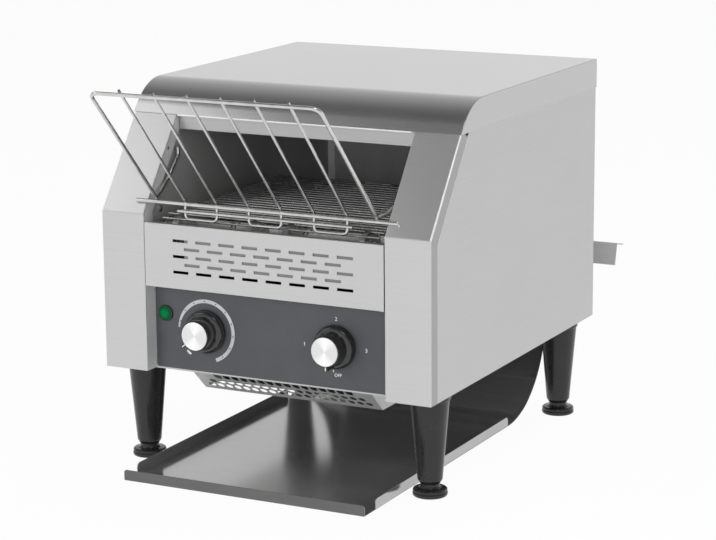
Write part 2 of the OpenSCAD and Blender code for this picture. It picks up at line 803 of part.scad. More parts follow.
module end_cap(y, z) difference() {
    union() {
        bar_x(wall_in - 2, wall_out + cap_l - 3, [y, z], cap_r);
        bar_x(wall_out, wall_out + 3, [y, z], cap_r + 2);
        bar_x(wall_out + cap_l - 3, wall_out + cap_l, [y, z], 2);
    }
    bar_x(wall_in - 3, wall_out + cap_l - 6, [y, z], tube_r);
}

module heater_end_caps() color("ivory") both_sides()
    for (i = [0:tube_count - 1]) {
        end_cap(upper_tube_y(i), upper_tube_z);
        end_cap(lower_tube_y(i), axle_z);
    }

// ---------------------------------------------------------------- belt and drive

module axle_bushings() color("goldenrod") both_sides()
    for (y = [front_axle_y, rear_axle_y]) difference() {
        union() {
            bar_x(wall_in - 1, wall_out + bush_l - 2, [y, axle_z], bush_r);
            bar_x(wall_out, wall_out + 2, [y, axle_z], bush_flange_r);
        }
        bar_x(wall_in - 2, wall_out + bush_l, [y, axle_z], axle_r + play);
    }

// Outline of one loop: two legs from the wire to a round tip on +Y, grown by t on both sides
module loop_outline(far, t) {
    difference() {
        union() {
            translate([0, far]) circle(loop_tip + t);
            polygon([[-loop_foot - t, 0], [loop_foot + t, 0], [loop_tip + t, far], [-loop_tip - t, far]]);
        }
        translate([0, far]) circle(loop_tip - t);
        polygon([[-loop_foot + t, -1], [loop_foot - t, -1], [loop_tip - t, far], [-loop_tip + t, far]]);
    }
}

// Wire along X with loops that pass under the next wire, one pitch further along +Y
module belt_link() {
    dip = atan((belt_wire_r + loop_wire_r + seat) / belt_pitch);
    reach = (belt_pitch + belt_wire_r + loop_wire_r + seat) / cos(dip);
    rod([-belt_half, 0, 0], [belt_half, 0, 0], belt_wire_r);
    for (x = loop_x) translate([x, 0, 0]) rotate([-dip, 0, 0]) translate([0, 0, -loop_wire_r * 0.9])
        linear_extrude(loop_wire_r * 1.8) loop_outline(reach - loop_tip, loop_wire_r * 0.95);
}

// Links of the belt, either those on the sprockets or those on the two straight runs
module belt_links(on_sprockets) color("silver")
    for (i = [0:2 * belt_run + belt_teeth - 1]) {
        half = belt_teeth / 2;
        pose = loop_pose(i, belt_run, half, belt_pitch, belt_r);
        turn = i % (belt_run + half);
        if ((turn == 0 || turn >= belt_run) == on_sprockets)
            translate([0, front_axle_y + pose[0], axle_z + pose[1]]) rotate([pose[2], 0, 0]) belt_link();
    }

module belt_straight_runs() belt_links(false);
module belt_end_turns() belt_links(true);

module axle(y, right_end) color(steel) bar_x(-(wall_out + bush_l + 4), right_end, [y, axle_z], axle_r);
module front_axle() axle(front_axle_y, wall_out + bush_l + 4);
module rear_axle() axle(rear_axle_y, chain_x + 5);

module belt_sprockets(y) color(dull_steel)
    for (x = sprocket_x)
        along_x(x - sprocket_w / 2, x + sprocket_w / 2) translate([y, axle_z])
            sprocket_outline(belt_teeth, belt_r, 1, belt_wire_r + 0.3, axle_r);
module front_sprockets() belt_sprockets(front_axle_y);
module rear_sprockets() belt_sprockets(rear_axle_y);

module chain_sprocket(z, bore_r) {
    along_x(chain_x - 1.1, chain_x + 1.1) translate([rear_axle_y, z])
        sprocket_outline(chain_teeth, chain_r, 1.2, roller_r + 0.25, bore_r);
    difference() {
        bar_x(chain_x - 6, chain_x - 1.1, [rear_axle_y, z], 8.5);
        bar_x(chain_x - 7, chain_x, [rear_axle_y, z], bore_r);
    }
}

module axle_chain_sprocket() color(dull_steel) chain_sprocket(axle_z, axle_r);
module motor_chain_sprocket() color(dull_steel) chain_sprocket(motor_z, motor_shaft_r);
module motor_shaft() color(steel)
    bar_x(wall_in - gearbox_t + 4, chain_x + 5, [rear_axle_y, motor_z], motor_shaft_r);

// Two plates of a chain link, x0 to x1 from the middle plane on both sides
module chain_plates(x0, x1, bore_r) {
    both_sides() along_x(x0, x1) difference() {
        union() {
            circle(2.5, $fn = 20);
            translate([chain_pitch, 0]) circle(2.5, $fn = 20);
            translate([0, -2]) square([chain_pitch, 4]);
        }
        if (bore_r > 0) for (u = [0, chain_pitch]) translate([u, 0]) circle(bore_r, $fn = 16);
    }
}

module inner_link() {
    chain_plates(1.5, 2.1, 1);
    for (u = [0, chain_pitch]) difference() {
        bar_x(-1.5, 1.5, [u, 0], roller_r, $fn = 20);
        bar_x(-2, 2, [u, 0], 1, $fn = 16);
    }
}

module outer_link() {
    chain_plates(2.2, 2.8, 0);
    for (u = [0, chain_pitch]) bar_x(-2.8, 2.8, [u, 0], 0.9, $fn = 16);
}

module drive_chain() color(dull_steel)
    translate([chain_x, rear_axle_y, axle_z]) rotate([-90, 0, 0])
        for (i = [0:2 * chain_run + chain_teeth - 1]) {
            pose = loop_pose(i, chain_run, chain_teeth / 2, chain_pitch, chain_r);
            translate([0, pose[0], pose[1]]) rotate([pose[2], 0, 0])
                if (i % 2 == 0) inner_link(); else outer_link();
        }

module gear_motor() color(dull_steel) difference() {
    union() {
        translate([wall_in - gearbox_t, rear_axle_y - gearbox_w / 2, motor_z - gearbox_w / 2])
            cube([gearbox_t, gearbox_w, gearbox_w]);
        bar_x(wall_in - gearbox_t - motor_l, wall_in - gearbox_t, [rear_axle_y, motor_z], motor_r);
    }
    bar_x(wall_in - gearbox_t + 3, wall_in + 1, [rear_axle_y, motor_z], motor_shaft_r + play);
}

// ---------------------------------------------------------------- fan, electrics

module fan_frame() color(plastic) translate([0, fan_y, base_z]) {
    difference() {
        translate([-fan_w / 2, -fan_w / 2, 0]) cube([fan_w, fan_w, fan_t]);
        translate([0, 0, -1]) cylinder(r = fan_w / 2 - 2, h = fan_t + 2);
        for (x = [-1, 1], y = [-1, 1]) translate([x * (fan_w / 2 - 5), y * (fan_w / 2 - 5), -1])
            cylinder(r = 2.1, h = fan_t + 2);
    }
    cylinder(r = fan_hub_r, h = 3);
    difference() {
        for (a = [0:90:270]) rotate(a) translate([0, -2, 0]) cube([fan_w / 2 - 1, 4, 3]);
        translate([0, 0, -1]) cylinder(r = fan_hub_r - 1, h = 5);
    }
    cylinder(r = 2, h = fan_t - 4);
}

module fan_rotor() color(plastic) translate([0, fan_y, base_z]) {
    low = 3 + seat;
    high = fan_t - 2;
    tip_r = fan_w / 2 - 3;
    difference() {
        union() {
            translate([0, 0, low]) cylinder(r = fan_hub_r, h = high - low);
            intersection() {
                difference() {
                    translate([0, 0, low + 1]) cylinder(r = tip_r, h = high - low - 2);
                    translate([0, 0, low]) cylinder(r = fan_hub_r - 1, h = high);
                }
                for (a = [0:360 / 7:359]) rotate(a) translate([0, 0, (low + high) / 2]) rotate([50, 0, 0])
                    translate([fan_hub_r - 2, -14, -0.6]) cube([tip_r, 28, 1.2]);
            }
        }
        translate([0, 0, low - 1]) cylinder(r = 2 + play, h = fan_t - 4 - low + 1 + seat);
    }
}

module terminal_block() color("ivory")
    translate([-wall_in * 2 / 3, drop_front - 3 * terminal[1], base_z]) difference() {
        cube(terminal);
        for (i = [0.5:4.5]) translate([i * terminal[0] / 5, terminal[1] / 2, terminal[2] / 2])
            cylinder(d = terminal[1] / 3, h = terminal[2]);
    }

// ---------------------------------------------------------------- rack

module bread_rack() color("silver") {
    translate([0, rack_low[0], rack_low[1]]) rotate([180 - rack_angle, 0, 0])
        wire_arch(rack_half, rack_leg, frame_bend, frame_r);
    arm_x = mouth_half - frame_r - 0.8;
    bend_1 = slope_point(27, 5);
    bend_2 = slope_point(48, 17);
    bend_3 = slope_point(hook_up - 5, hook_depth + 4);
    both_sides() {
        translate([rack_half, rack_low[0], rack_low[1]]) sphere(frame_r + tiny * 4, $fn = 24);
        wire([[rack_half, rack_low[0], rack_low[1]], [(rack_half + arm_x) / 2, bend_1[0], bend_1[1]],
              [arm_x, bend_2[0], bend_2[1]], [arm_x, bend_3[0], bend_3[1]], [arm_x, hook[0], hook[1]],
              [wall_out + 2, hook[0], hook[1]]], frame_r);
    }
    bar_x(-mouth_half - rack_rest, mouth_half + rack_rest, rest_bar, frame_r, $fn = 24);

    feed_top = rack_top + rack_in * (frame_r + feed_r);
    feed_low = rest_bar + rack_in * (frame_r + feed_r);
    pin_end = [front_axle_y - 18, belt_top - 1.5];
    pin_dir = unit(pin_end - feed_low);
    tip = feed_top - unit(feed_low - feed_top) * 2;
    for (i = [0:feed_count - 1]) {
        x = -feed_half + i * feed_pitch;
        rod([x, tip[0], tip[1]], [x, feed_low[0], feed_low[1]], feed_r);
        translate([x, feed_low[0], feed_low[1]]) sphere(feed_r + tiny * 4, $fn = 24);
    }
    for (i = [0:feed_count / 2 - 1])
        translate([-feed_half + (2 * i + 0.5) * feed_pitch, feed_low[0], feed_low[1]])
            rotate([atan2(pin_dir[1], pin_dir[0]), 0, 0])
                wire_arch(feed_pitch / 2, norm(pin_end - feed_low), 5, feed_r);
    weld = 0.2;
    second = feed_low + pin_dir * norm(pin_end - feed_low) * 0.55
        - [-pin_dir[1], pin_dir[0]] * (2 * feed_r - weld);
    bar_x(-feed_half - 7, feed_half + 7, second, feed_r, $fn = 24);
}

// ---------------------------------------------------------------- tray

module toast_tray() color(steel) {
    t = 1;
    corner = 5;
    flange_end = tray_flat - 1;
    along_x(-tray_half, tray_half) {
        folded([[-tray_reach, tray_lift + tray_lip], [-tray_reach, tray_lift], [tray_flat, tray_lift]], t);
        translate([tray_flat, tray_lift + tray_bend]) difference() {
            circle(tray_bend, $fn = 180);
            circle(tray_bend - t, $fn = 180);
            translate([-2 * tray_bend, -2 * tray_bend]) square([2 * tray_bend, 4 * tray_bend]);
            translate([-1, tray_top - tray_lift - tray_bend]) square([3 * tray_bend, 3 * tray_bend]);
        }
    }
    both_sides() along_x(tray_half - t, tray_half) {
        front = -tray_reach + tray_notch;
        translate([front, tray_lift]) square([flange_end - front, tray_lip - corner]);
        translate([front + corner, tray_lift]) square([flange_end - front - 2 * corner, tray_lip]);
        for (y = [front + corner, flange_end - corner])
            translate([y, tray_lift + tray_lip - corner]) circle(corner);
    }
}

// ---------------------------------------------------------------- legs and feet

module leg(x, y) color(plastic) translate([x, y, 0]) difference() {
    rotate_extrude() polygon([[0, leg_bottom + seat], [neck_r + 0.6, leg_bottom + seat],
        [leg_foot_r, leg_bottom + 4], [leg_top_r - 0.5, underside_z - 5],
        [leg_top_r + 0.8, underside_z - 4], [leg_top_r + 0.8, underside_z], [0, underside_z]]);
    translate([0, 0, leg_bottom - 1]) cylinder(r = screw_r + play, h = 32);
}

module front_left_leg() leg(-leg_x, leg_ys[0]);
module front_right_leg() leg(leg_x, leg_ys[0]);
module rear_left_leg() leg(-leg_x, leg_ys[1]);
module rear_right_leg() leg(leg_x, leg_ys[1]);

module foot(x, y) color(plastic) translate([x, y, 0]) {
    edge = 2.5;
    rotate_extrude() {
        square([foot_r - edge, foot_t]);
        translate([0, edge]) square([foot_r, foot_t - 2 * edge]);
        for (z = [edge, foot_t - edge]) translate([foot_r - edge, z]) circle(edge);
        square([neck_r, leg_bottom]);
        square([screw_r, leg_bottom + 24]);
    }
}

module front_left_foot() foot(-leg_x, leg_ys[0]);
module front_right_foot() foot(leg_x, leg_ys[0]);
module rear_left_foot() foot(-leg_x, leg_ys[1]);
module rear_right_foot() foot(leg_x, leg_ys[1]);

// ---------------------------------------------------------------- rear bracket, screws

module rear_spacer() color(steel) {
    t = 1.5;
    arm_x = wall_in - 10;
    top = spacer_z + spacer_w;
    along_x(-body_w / 2, body_w / 2)
        folded([[spacer_y, spacer_z], [spacer_y + 6, top], [spacer_rear, top - 4]], -t);
    both_sides() {
        along_x(arm_x, arm_x + t)
            polygon([[body_d, spacer_z], [spacer_y + 0.5, spacer_z], [spacer_y + 5.5, top - 4],
                     [body_d, top - 4]]);
        translate([arm_x - 16, body_d, spacer_z]) cube([16, t, spacer_w - 4]);
    }
}

// Pan-head screw on a face, its axis along +X
module screw_head_x(yz, x) {
    intersection() {
        bar_x(x - 2, x, yz, 3.2, $fn = 24);
        translate([x + 2.4, yz[0], yz[1]]) sphere(4.6, $fn = 32);
    }
}

module screw_head_rear(x, z) intersection() {
    boss_y(x, z, body_d + 2, 2, 3.2, $fn = 24);
    translate([x, body_d - 2.4, z]) sphere(4.6, $fn = 32);
}

module cabinet_screws() color(dull_steel) {
    both_sides() {
        screw_head_x(slope_point(flange_screw_up, flange_screw_in), wall_in);
        for (i = [0:3]) screw_head_rear(body_w / 2 - screw_inset,
            underside_z + screw_inset + i * (skirt_z - underside_z - 2 * screw_inset) / 3);
        for (z = [spacer_z + 4, spacer_z + spacer_w - 8])
            translate([0, 1.5, 0]) screw_head_rear(wall_in - spacer_screw_in, z);
    }
}

// ---------------------------------------------------------------- output

place() top_cover();
place() left_side_panel();
place() right_side_panel();
place() left_front_post();
place() right_front_post();
place() base_plate();
place() rear_panel();
place() cable_inlet();
place() perforated_panel();
place() front_baffle();
place() control_panel();
place() control_fascia();
place() vent_grille();
place() lintel();
place() chamber_left_wall();
place() chamber_right_wall();
place() chamber_roof();
place() chamber_rear_wall();
place() chamber_corner_strips();
place() heat_shield();
place() upper_heater_tubes();
place() lower_heater_tubes();
place() heater_end_caps();
place() axle_bushings();
place() belt_straight_runs();
place() belt_end_turns();
place() front_axle();
place() front_sprockets();
place() rear_axle();
place() rear_sprockets();
place() axle_chain_sprocket();
place() motor_chain_sprocket();
place() motor_shaft();
place() drive_chain();
place() gear_motor();
place() fan_frame();
place() fan_rotor();
place() speed_control();
place() mode_switch();
place() terminal_block();
place() lamp_bezel();
place() lamp_lens();
place() speed_knob();
place() speed_knob_disc();
place() speed_shaft();
place() mode_knob();
place() mode_knob_disc();
place() mode_shaft();
place() bread_rack();
place() toast_tray();
place() front_left_leg();
place() front_right_leg();
place() rear_left_leg();
place() rear_right_leg();
place() front_left_foot();
place() front_right_foot();
place() rear_left_foot();
place() rear_right_foot();
place() rear_spacer();
place() cabinet_screws();
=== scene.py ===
# %% [markdown]
# # A countertop conveyor toaster
# Bread slides down a wire rack onto a wire belt, rides between two rows of heater tubes
# and drops behind the belt onto a curved steel tray. The solid model gives every sheet,
# wire and shaft its true place. This lesson dresses that model: it softens folded edges,
# re-makes the belt in round wire, adds the print on the control panel, and gives each
# surface a procedural finish.

# %% Load the solid model
import bpy
import bmesh
import math
from mathutils import Matrix, Vector


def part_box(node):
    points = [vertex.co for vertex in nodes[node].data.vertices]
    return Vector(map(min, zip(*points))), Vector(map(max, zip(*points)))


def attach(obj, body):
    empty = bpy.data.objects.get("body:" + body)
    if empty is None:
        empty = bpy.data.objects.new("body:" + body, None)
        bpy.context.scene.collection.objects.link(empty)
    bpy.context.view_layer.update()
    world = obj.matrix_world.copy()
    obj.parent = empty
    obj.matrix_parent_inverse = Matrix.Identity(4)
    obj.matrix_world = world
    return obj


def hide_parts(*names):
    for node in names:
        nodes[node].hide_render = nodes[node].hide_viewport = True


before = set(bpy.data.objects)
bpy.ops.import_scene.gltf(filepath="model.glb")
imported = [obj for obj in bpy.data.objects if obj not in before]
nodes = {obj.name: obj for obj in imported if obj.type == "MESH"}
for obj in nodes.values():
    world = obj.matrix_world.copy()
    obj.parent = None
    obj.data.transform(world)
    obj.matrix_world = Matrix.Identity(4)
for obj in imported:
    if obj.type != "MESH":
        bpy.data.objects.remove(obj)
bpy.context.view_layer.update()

# %% [markdown]
# ## Places in millimetres
# The toaster's own drawing counts Y from the front face of its posts and Z from the
# counter. One helper turns such a point into the frame's metres, so every number below
# reads like a number on the drawing.

# %% Drawing coordinates
MM = 0.001
POST_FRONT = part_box("left_front_post")[0].y


def at(x, y, z):
    """A point of the drawing, in millimetres, as a point of the frame, in metres."""
    return Vector((x * MM, POST_FRONT + y * MM, z * MM))


print("posts' front face at y =", round(POST_FRONT, 5))

# %% [markdown]
# ## Camera
# The camera stands to the right of the mouth, a little above the hood, with a long lens
# so that the cabinet's edges stay nearly parallel. Its three axes are worked out from the
# two angles of the view, then rolled a little about the line of sight.


# %% Tool for new objects
def new_object(name, data):
    """An object for a camera, a lamp, a curve or a mesh, linked into the scene."""
    made = bpy.data.objects.new(name, data)
    bpy.context.scene.collection.objects.link(made)
    return made


print("object tool ready")

# %% Camera
AZIMUTH, ELEVATION, ROLL = (math.radians(a) for a in (27.118, 12.547, -0.46))
AIM = at(-30.671, 267.976, 163.867)
DISTANCE = 2.642464  # metres
IMAGE_WIDTH, FOCAL_LENGTH = 716, 2429.315  # both in pixels
SENSOR_WIDTH = 36  # millimetres
back = Vector((math.sin(AZIMUTH) * math.cos(ELEVATION),
               -math.cos(AZIMUTH) * math.cos(ELEVATION), math.sin(ELEVATION)))
side = (-back).cross(Vector((0, 0, 1))).normalized()
upward = side.cross(-back)
side_rolled = math.cos(ROLL) * side + math.sin(ROLL) * upward
up_rolled = -math.sin(ROLL) * side + math.cos(ROLL) * upward

camera_data = bpy.data.cameras.new("camera")
camera_data.sensor_width = SENSOR_WIDTH
camera_data.lens = SENSOR_WIDTH * FOCAL_LENGTH / IMAGE_WIDTH
camera_data.clip_end = 50
camera = new_object("camera", camera_data)
turned_axes = Matrix((side_rolled, up_rolled, back)).transposed().to_4x4()
camera.matrix_world = Matrix.Translation(AIM + back * DISTANCE) @ turned_axes
bpy.context.scene.camera = camera
print("lens", round(camera_data.lens, 1), "mm")

# %% [markdown]
# ## World, floor and lamps
# A plain studio has a white sweep under and behind the object and a darker room overhead:
# steel shows both. The hood's rounded front shows the whole sky, from the rear horizon
# over the top to the front, so the world is given as tones along that way: white behind,
# grey above, nearly black above the lens and white again in front. To the camera it is
# plain white.


# %% Tools for shader nodes
def math_node(tree, operation, a, b=0):
    """A Math node whose inputs are sockets or numbers; returns its output."""
    node = tree.nodes.new("ShaderNodeMath")
    node.operation = operation
    for socket, value in zip(node.inputs, (a, b)):
        if isinstance(value, (int, float)):
            socket.default_value = value
        else:
            tree.links.new(value, socket)
    return node.outputs[0]


def mixed(tree, share, first, second, end):
    """Mixes two shader nodes and joins them to an output node of the type end."""
    mix = tree.nodes.new("ShaderNodeMixShader")
    for source, socket in zip((share, first.outputs[0], second.outputs[0]), mix.inputs):
        tree.links.new(source, socket)
    tree.links.new(mix.outputs[0], tree.nodes.new(end).inputs["Surface"])


print("node tools ready")

# %% World
# Each stop is (way over the top in half turns, tone).
SKY = ((0.06, 1.0), (0.13, 0.74), (0.28, 0.50), (0.37, 0.36), (0.45, 0.20),
       (0.53, 0.11), (0.60, 0.12), (0.67, 0.25), (0.80, 0.50), (0.93, 1.0))
world = bpy.data.worlds.new("studio")
bpy.context.scene.world = world
world.use_nodes = True
sky = world.node_tree
sky.nodes.clear()
direction = sky.nodes.new("ShaderNodeTexCoord")
split = sky.nodes.new("ShaderNodeSeparateXYZ")
sky.links.new(direction.outputs["Generated"], split.inputs[0])
way_over = math_node(sky, "ARCTAN2", split.outputs["Z"], split.outputs["Y"])
overhead = sky.nodes.new("ShaderNodeValToRGB")
sky.links.new(math_node(sky, "DIVIDE", way_over, math.pi), overhead.inputs["Fac"])
stops = overhead.color_ramp.elements
for i, (way, tone) in enumerate(SKY):
    stop = stops[i] if i < 2 else stops.new(way)
    stop.position = way
    stop.color = (tone, tone, tone, 1)
studio = sky.nodes.new("ShaderNodeBackground")
sky.links.new(overhead.outputs["Color"], studio.inputs["Color"])
plain = sky.nodes.new("ShaderNodeBackground")
plain.inputs["Color"].default_value = (1, 1, 1, 1)
sky_ray = sky.nodes.new("ShaderNodeLightPath")
mixed(sky, sky_ray.outputs["Is Camera Ray"], studio, plain, "ShaderNodeOutputWorld")
print("world ready,", len(stops), "tones")

# %% [markdown]
# The floor is one wide disc. The camera, polished metal and clear glass see it as nearly
# plain white, which leaves just enough of its own shading for the toaster's soft shadow.
# Light that bounces off it takes the ordinary diffuse white.


# %% Tools for meshes
def mesh_from(name, bm):
    """The mesh of a bmesh, which is freed."""
    mesh = bpy.data.meshes.new(name)
    bm.to_mesh(mesh)
    bm.free()
    return mesh


def put(bm, place):
    """Scales a bmesh from millimetres to metres and moves it to a place of the frame."""
    bmesh.ops.scale(bm, verts=bm.verts, vec=(MM, MM, MM))
    bmesh.ops.translate(bm, verts=bm.verts, vec=place)


print("mesh tools ready")

# %% Floor
FLOOR_RADIUS, FLOOR_DROP = 12, 0.0002  # metres; the drop keeps the feet clear of it
WHITE_SHARE = 0.95
bm = bmesh.new()
bmesh.ops.create_circle(bm, cap_ends=True, segments=96, radius=FLOOR_RADIUS)
floor = new_object("floor", mesh_from("floor", bm))
floor.location.z = -FLOOR_DROP
floor_mat = bpy.data.materials.new("white_sweep")
floor_mat.use_nodes = True
sweep = floor_mat.node_tree
sweep.nodes.clear()
lit = sweep.nodes.new("ShaderNodeBsdfDiffuse")
lit.inputs["Color"].default_value = (0.9, 0.9, 0.9, 1)
white = sweep.nodes.new("ShaderNodeEmission")
white.inputs["Color"].default_value = (1, 1, 1, 1)
floor_ray = sweep.nodes.new("ShaderNodeLightPath")
seen = math_node(sweep, "MAXIMUM", floor_ray.outputs["Is Camera Ray"], floor_ray.outputs["Is Glossy Ray"])
seen = math_node(sweep, "MAXIMUM", seen, floor_ray.outputs["Is Transmission Ray"])
mixed(sweep, math_node(sweep, "MULTIPLY", seen, WHITE_SHARE), lit, white, "ShaderNodeOutputMaterial")
floor.data.materials.append(floor_mat)
print("floor ready")

# %% [markdown]
# Seven square lamps light the toaster softly from the front, the sides and above. A lamp
# that brushed steel mirrors burns a white patch into a panel, so five of them are hidden
# from the metal's reflections: only the key lamp and the knobs' lamp show there.


# %% Lamps
def softbox(name, place, target, size, watts, mirrored=False):
    """A square area lamp at a place of the drawing, aimed at another, both in millimetres.
    Only a mirrored one shows in the metal."""
    lamp_data = bpy.data.lights.new(name, "AREA")
    lamp_data.size = size
    lamp_data.energy = watts
    lamp = new_object(name, lamp_data)
    lamp.visible_glossy = mirrored
    lamp.location = at(*place)
    lamp.rotation_euler = (at(*target) - at(*place)).to_track_quat("-Z", "Y").to_euler()
    print(name, watts, "W")


softbox("key_box", (-900, -420, 1000), (-160, 35, 310), 0.7, 2.0, mirrored=True)
softbox("front_box", (-950, -1250, 620), (-60, 100, 220), 0.8, 7.5)
softbox("mouth_box", (900, -1800, 480), (0, 200, 290), 1.0, 9.5)
softbox("side_box", (2300, -300, 900), (0, 200, 200), 1.2, 8)
softbox("panel_box", (900, -250, 500), (184, 100, 250), 0.5, 0.8)
softbox("knob_box", (650, -520, 1550), (0, 0, 150), 0.35, 3.0, mirrored=True)
softbox("top_box", (200, 900, 2300), (0, 200, 300), 1.0, 10)

# %% [markdown]
# ## Shared shader groups
# Several finishes share the same ideas, so each idea is a node group with its own inputs:
# the fine parallel scratches of brushed steel, and the soft blotches that handling and
# heat leave. A group only puts out masks, values and normals; the shader stays in the
# material.


# %% Tools for node groups
def new_group(name, inputs, outputs):
    """An empty shader group. Inputs are (name, socket type, default), outputs (name, socket type)."""
    group = bpy.data.node_groups.new(name, "ShaderNodeTree")
    for title, kind, value in inputs:
        socket = group.interface.new_socket(title, in_out="INPUT", socket_type=kind)
        if value is not None:
            socket.default_value = value
    for title, kind in outputs:
        group.interface.new_socket(title, in_out="OUTPUT", socket_type=kind)
    return group, group.nodes.new("NodeGroupInput"), group.nodes.new("NodeGroupOutput")


def noise(tree, vector, scale, rough=0.5):
    """A Noise Texture on a vector socket; returns its Fac output."""
    node = tree.nodes.new("ShaderNodeTexNoise")
    node.inputs["Scale"].default_value = scale
    node.inputs["Detail"].default_value = 3.0
    node.inputs["Roughness"].default_value = rough
    tree.links.new(vector, node.inputs["Vector"])
    return node.outputs["Fac"]


def stretched(tree, vector, scale):
    """The vector multiplied by (x, y, z)."""
    node = tree.nodes.new("ShaderNodeMapping")
    node.vector_type = "POINT"
    node.inputs["Scale"].default_value = scale
    tree.links.new(vector, node.inputs["Vector"])
    return node.outputs[0]


def map_range(tree, value, *limits):
    """A Map Range node from two limits to two others; returns its output."""
    node = tree.nodes.new("ShaderNodeMapRange")
    for title, limit in zip(("From Min", "From Max", "To Min", "To Max"), limits):
        node.inputs[title].default_value = limit
    tree.links.new(value, node.inputs["Value"])
    return node.outputs[0]


print("group tools ready")

# %% [markdown]
# A brush leaves long scratches, so the grain is noise that is squeezed hard across the
# scratches and hardly along them. On upright sheets they run level; on a level sheet the
# noise is squeezed along Y as well, and the surface's own normal picks between the two.

# %% Brushed grain
ALONG, ACROSS = 12, 2600  # how dense the noise is along and across a scratch
LEVEL_FROM = 0.8  # a face is level where its normal's Z is larger
grain_group, g_in, g_out = new_group(
    "brushed_grain",
    [("Vector", "NodeSocketVector", None), ("Fineness", "NodeSocketFloat", 1.0)],
    [("Value", "NodeSocketFloat")])
scaled = grain_group.nodes.new("ShaderNodeVectorMath")
scaled.operation = "SCALE"
grain_group.links.new(g_in.outputs["Vector"], scaled.inputs[0])
grain_group.links.new(g_in.outputs["Fineness"], scaled.inputs["Scale"])
upright, level = (noise(grain_group, stretched(grain_group, scaled.outputs[0], squeeze), 1.0, 0.65)
                  for squeeze in ((ALONG, ALONG, ACROSS), (ALONG, ACROSS, ACROSS)))
facing = grain_group.nodes.new("ShaderNodeNewGeometry")
facing_z = grain_group.nodes.new("ShaderNodeSeparateXYZ")
grain_group.links.new(facing.outputs["Normal"], facing_z.inputs[0])
is_level = math_node(grain_group, "GREATER_THAN",
                     math_node(grain_group, "ABSOLUTE", facing_z.outputs["Z"]), LEVEL_FROM)
pick = grain_group.nodes.new("ShaderNodeMix")
pick.data_type = "FLOAT"
grain_group.links.new(is_level, pick.inputs["Factor"])
grain_group.links.new(upright, pick.inputs["A"])
grain_group.links.new(level, pick.inputs["B"])
grain_group.links.new(pick.outputs["Result"], g_out.inputs["Value"])
print("group", grain_group.name)

# %% Blotches of handling and heat
blotch_group, b_in, b_out = new_group(
    "blotches",
    [("Vector", "NodeSocketVector", None), ("Size", "NodeSocketFloat", 30.0)],
    [("Broad", "NodeSocketFloat"), ("Fine", "NodeSocketFloat")])
for width, factor, detail in (("Broad", 1.0, 3.0), ("Fine", 9.0, 4.0)):
    cloud = blotch_group.nodes.new("ShaderNodeTexNoise")
    cloud.inputs["Detail"].default_value = detail
    blotch_group.links.new(b_in.outputs["Vector"], cloud.inputs["Vector"])
    cloud_scale = math_node(blotch_group, "MULTIPLY", b_in.outputs["Size"], factor)
    blotch_group.links.new(cloud_scale, cloud.inputs["Scale"])
    blotch_group.links.new(cloud.outputs["Fac"], b_out.inputs[width])
print("group", blotch_group.name)

# %% [markdown]
# ## Finishes
# Every finish starts from the same small recipe: Object coordinates, the blotches, and a
# Principled shader. What differs is the colour range, the roughness range and the height
# that goes to the bump, so one function builds them and each material is a line of values.

# %% Recipe for a finish
NOISE_LOW, NOISE_HIGH = 0.3, 0.7  # noise seldom leaves this range
BROAD_SHARE = 0.7  # of broad blotches, where there is no grain
RELIEF = 0.0002  # metres; how high the bump map's hills are


def finish(name, dark, light, rough, metallic=0.0, grain=0.0, blotch=30.0, bump=0.0, bump_scale=900.0,
           coat=0.0, specular=0.5):
    """A Principled material. dark and light are the colour's range, rough the roughness range;
    grain is the scratches' share of the pattern, blotch the blotches' density."""
    mat = bpy.data.materials.new(name)
    mat.use_nodes = True
    tree = mat.node_tree
    shader = tree.nodes["Principled BSDF"]
    place = tree.nodes.new("ShaderNodeTexCoord").outputs["Object"]
    blotches = tree.nodes.new("ShaderNodeGroup")
    blotches.node_tree = blotch_group
    blotches.inputs["Size"].default_value = blotch
    tree.links.new(place, blotches.inputs["Vector"])
    if grain:
        grains = tree.nodes.new("ShaderNodeGroup")
        grains.node_tree = grain_group
        tree.links.new(place, grains.inputs["Vector"])
        other, share = grains.outputs["Value"], grain
    else:
        other, share = blotches.outputs["Fine"], 1 - BROAD_SHARE
    pattern = math_node(tree, "ADD", math_node(tree, "MULTIPLY", blotches.outputs["Broad"], 1 - share),
                        math_node(tree, "MULTIPLY", other, share))
    colours = tree.nodes.new("ShaderNodeValToRGB")
    for stop, position, colour in zip(colours.color_ramp.elements, (NOISE_LOW, NOISE_HIGH), (dark, light)):
        stop.position = position
        stop.color = (*colour, 1)
    tree.links.new(pattern, colours.inputs["Fac"])
    tree.links.new(colours.outputs["Color"], shader.inputs["Base Color"])
    tree.links.new(map_range(tree, pattern, NOISE_LOW, NOISE_HIGH, *rough), shader.inputs["Roughness"])
    shader.inputs["Metallic"].default_value = metallic
    shader.inputs["Specular IOR Level"].default_value = specular
    shader.inputs["Coat Weight"].default_value = coat
    if bump:
        height = grains.outputs["Value"] if grain else noise(tree, place, bump_scale)
        relief = tree.nodes.new("ShaderNodeBump")
        relief.inputs["Strength"].default_value = bump
        relief.inputs["Distance"].default_value = RELIEF
        tree.links.new(height, relief.inputs["Height"])
        tree.links.new(relief.outputs[0], shader.inputs["Normal"])
    print("finish", name)
    return mat


def grey(a, b=None):
    """A neutral grey, or a slightly warm one if b is given for blue."""
    return (a, a, a if b is None else b)
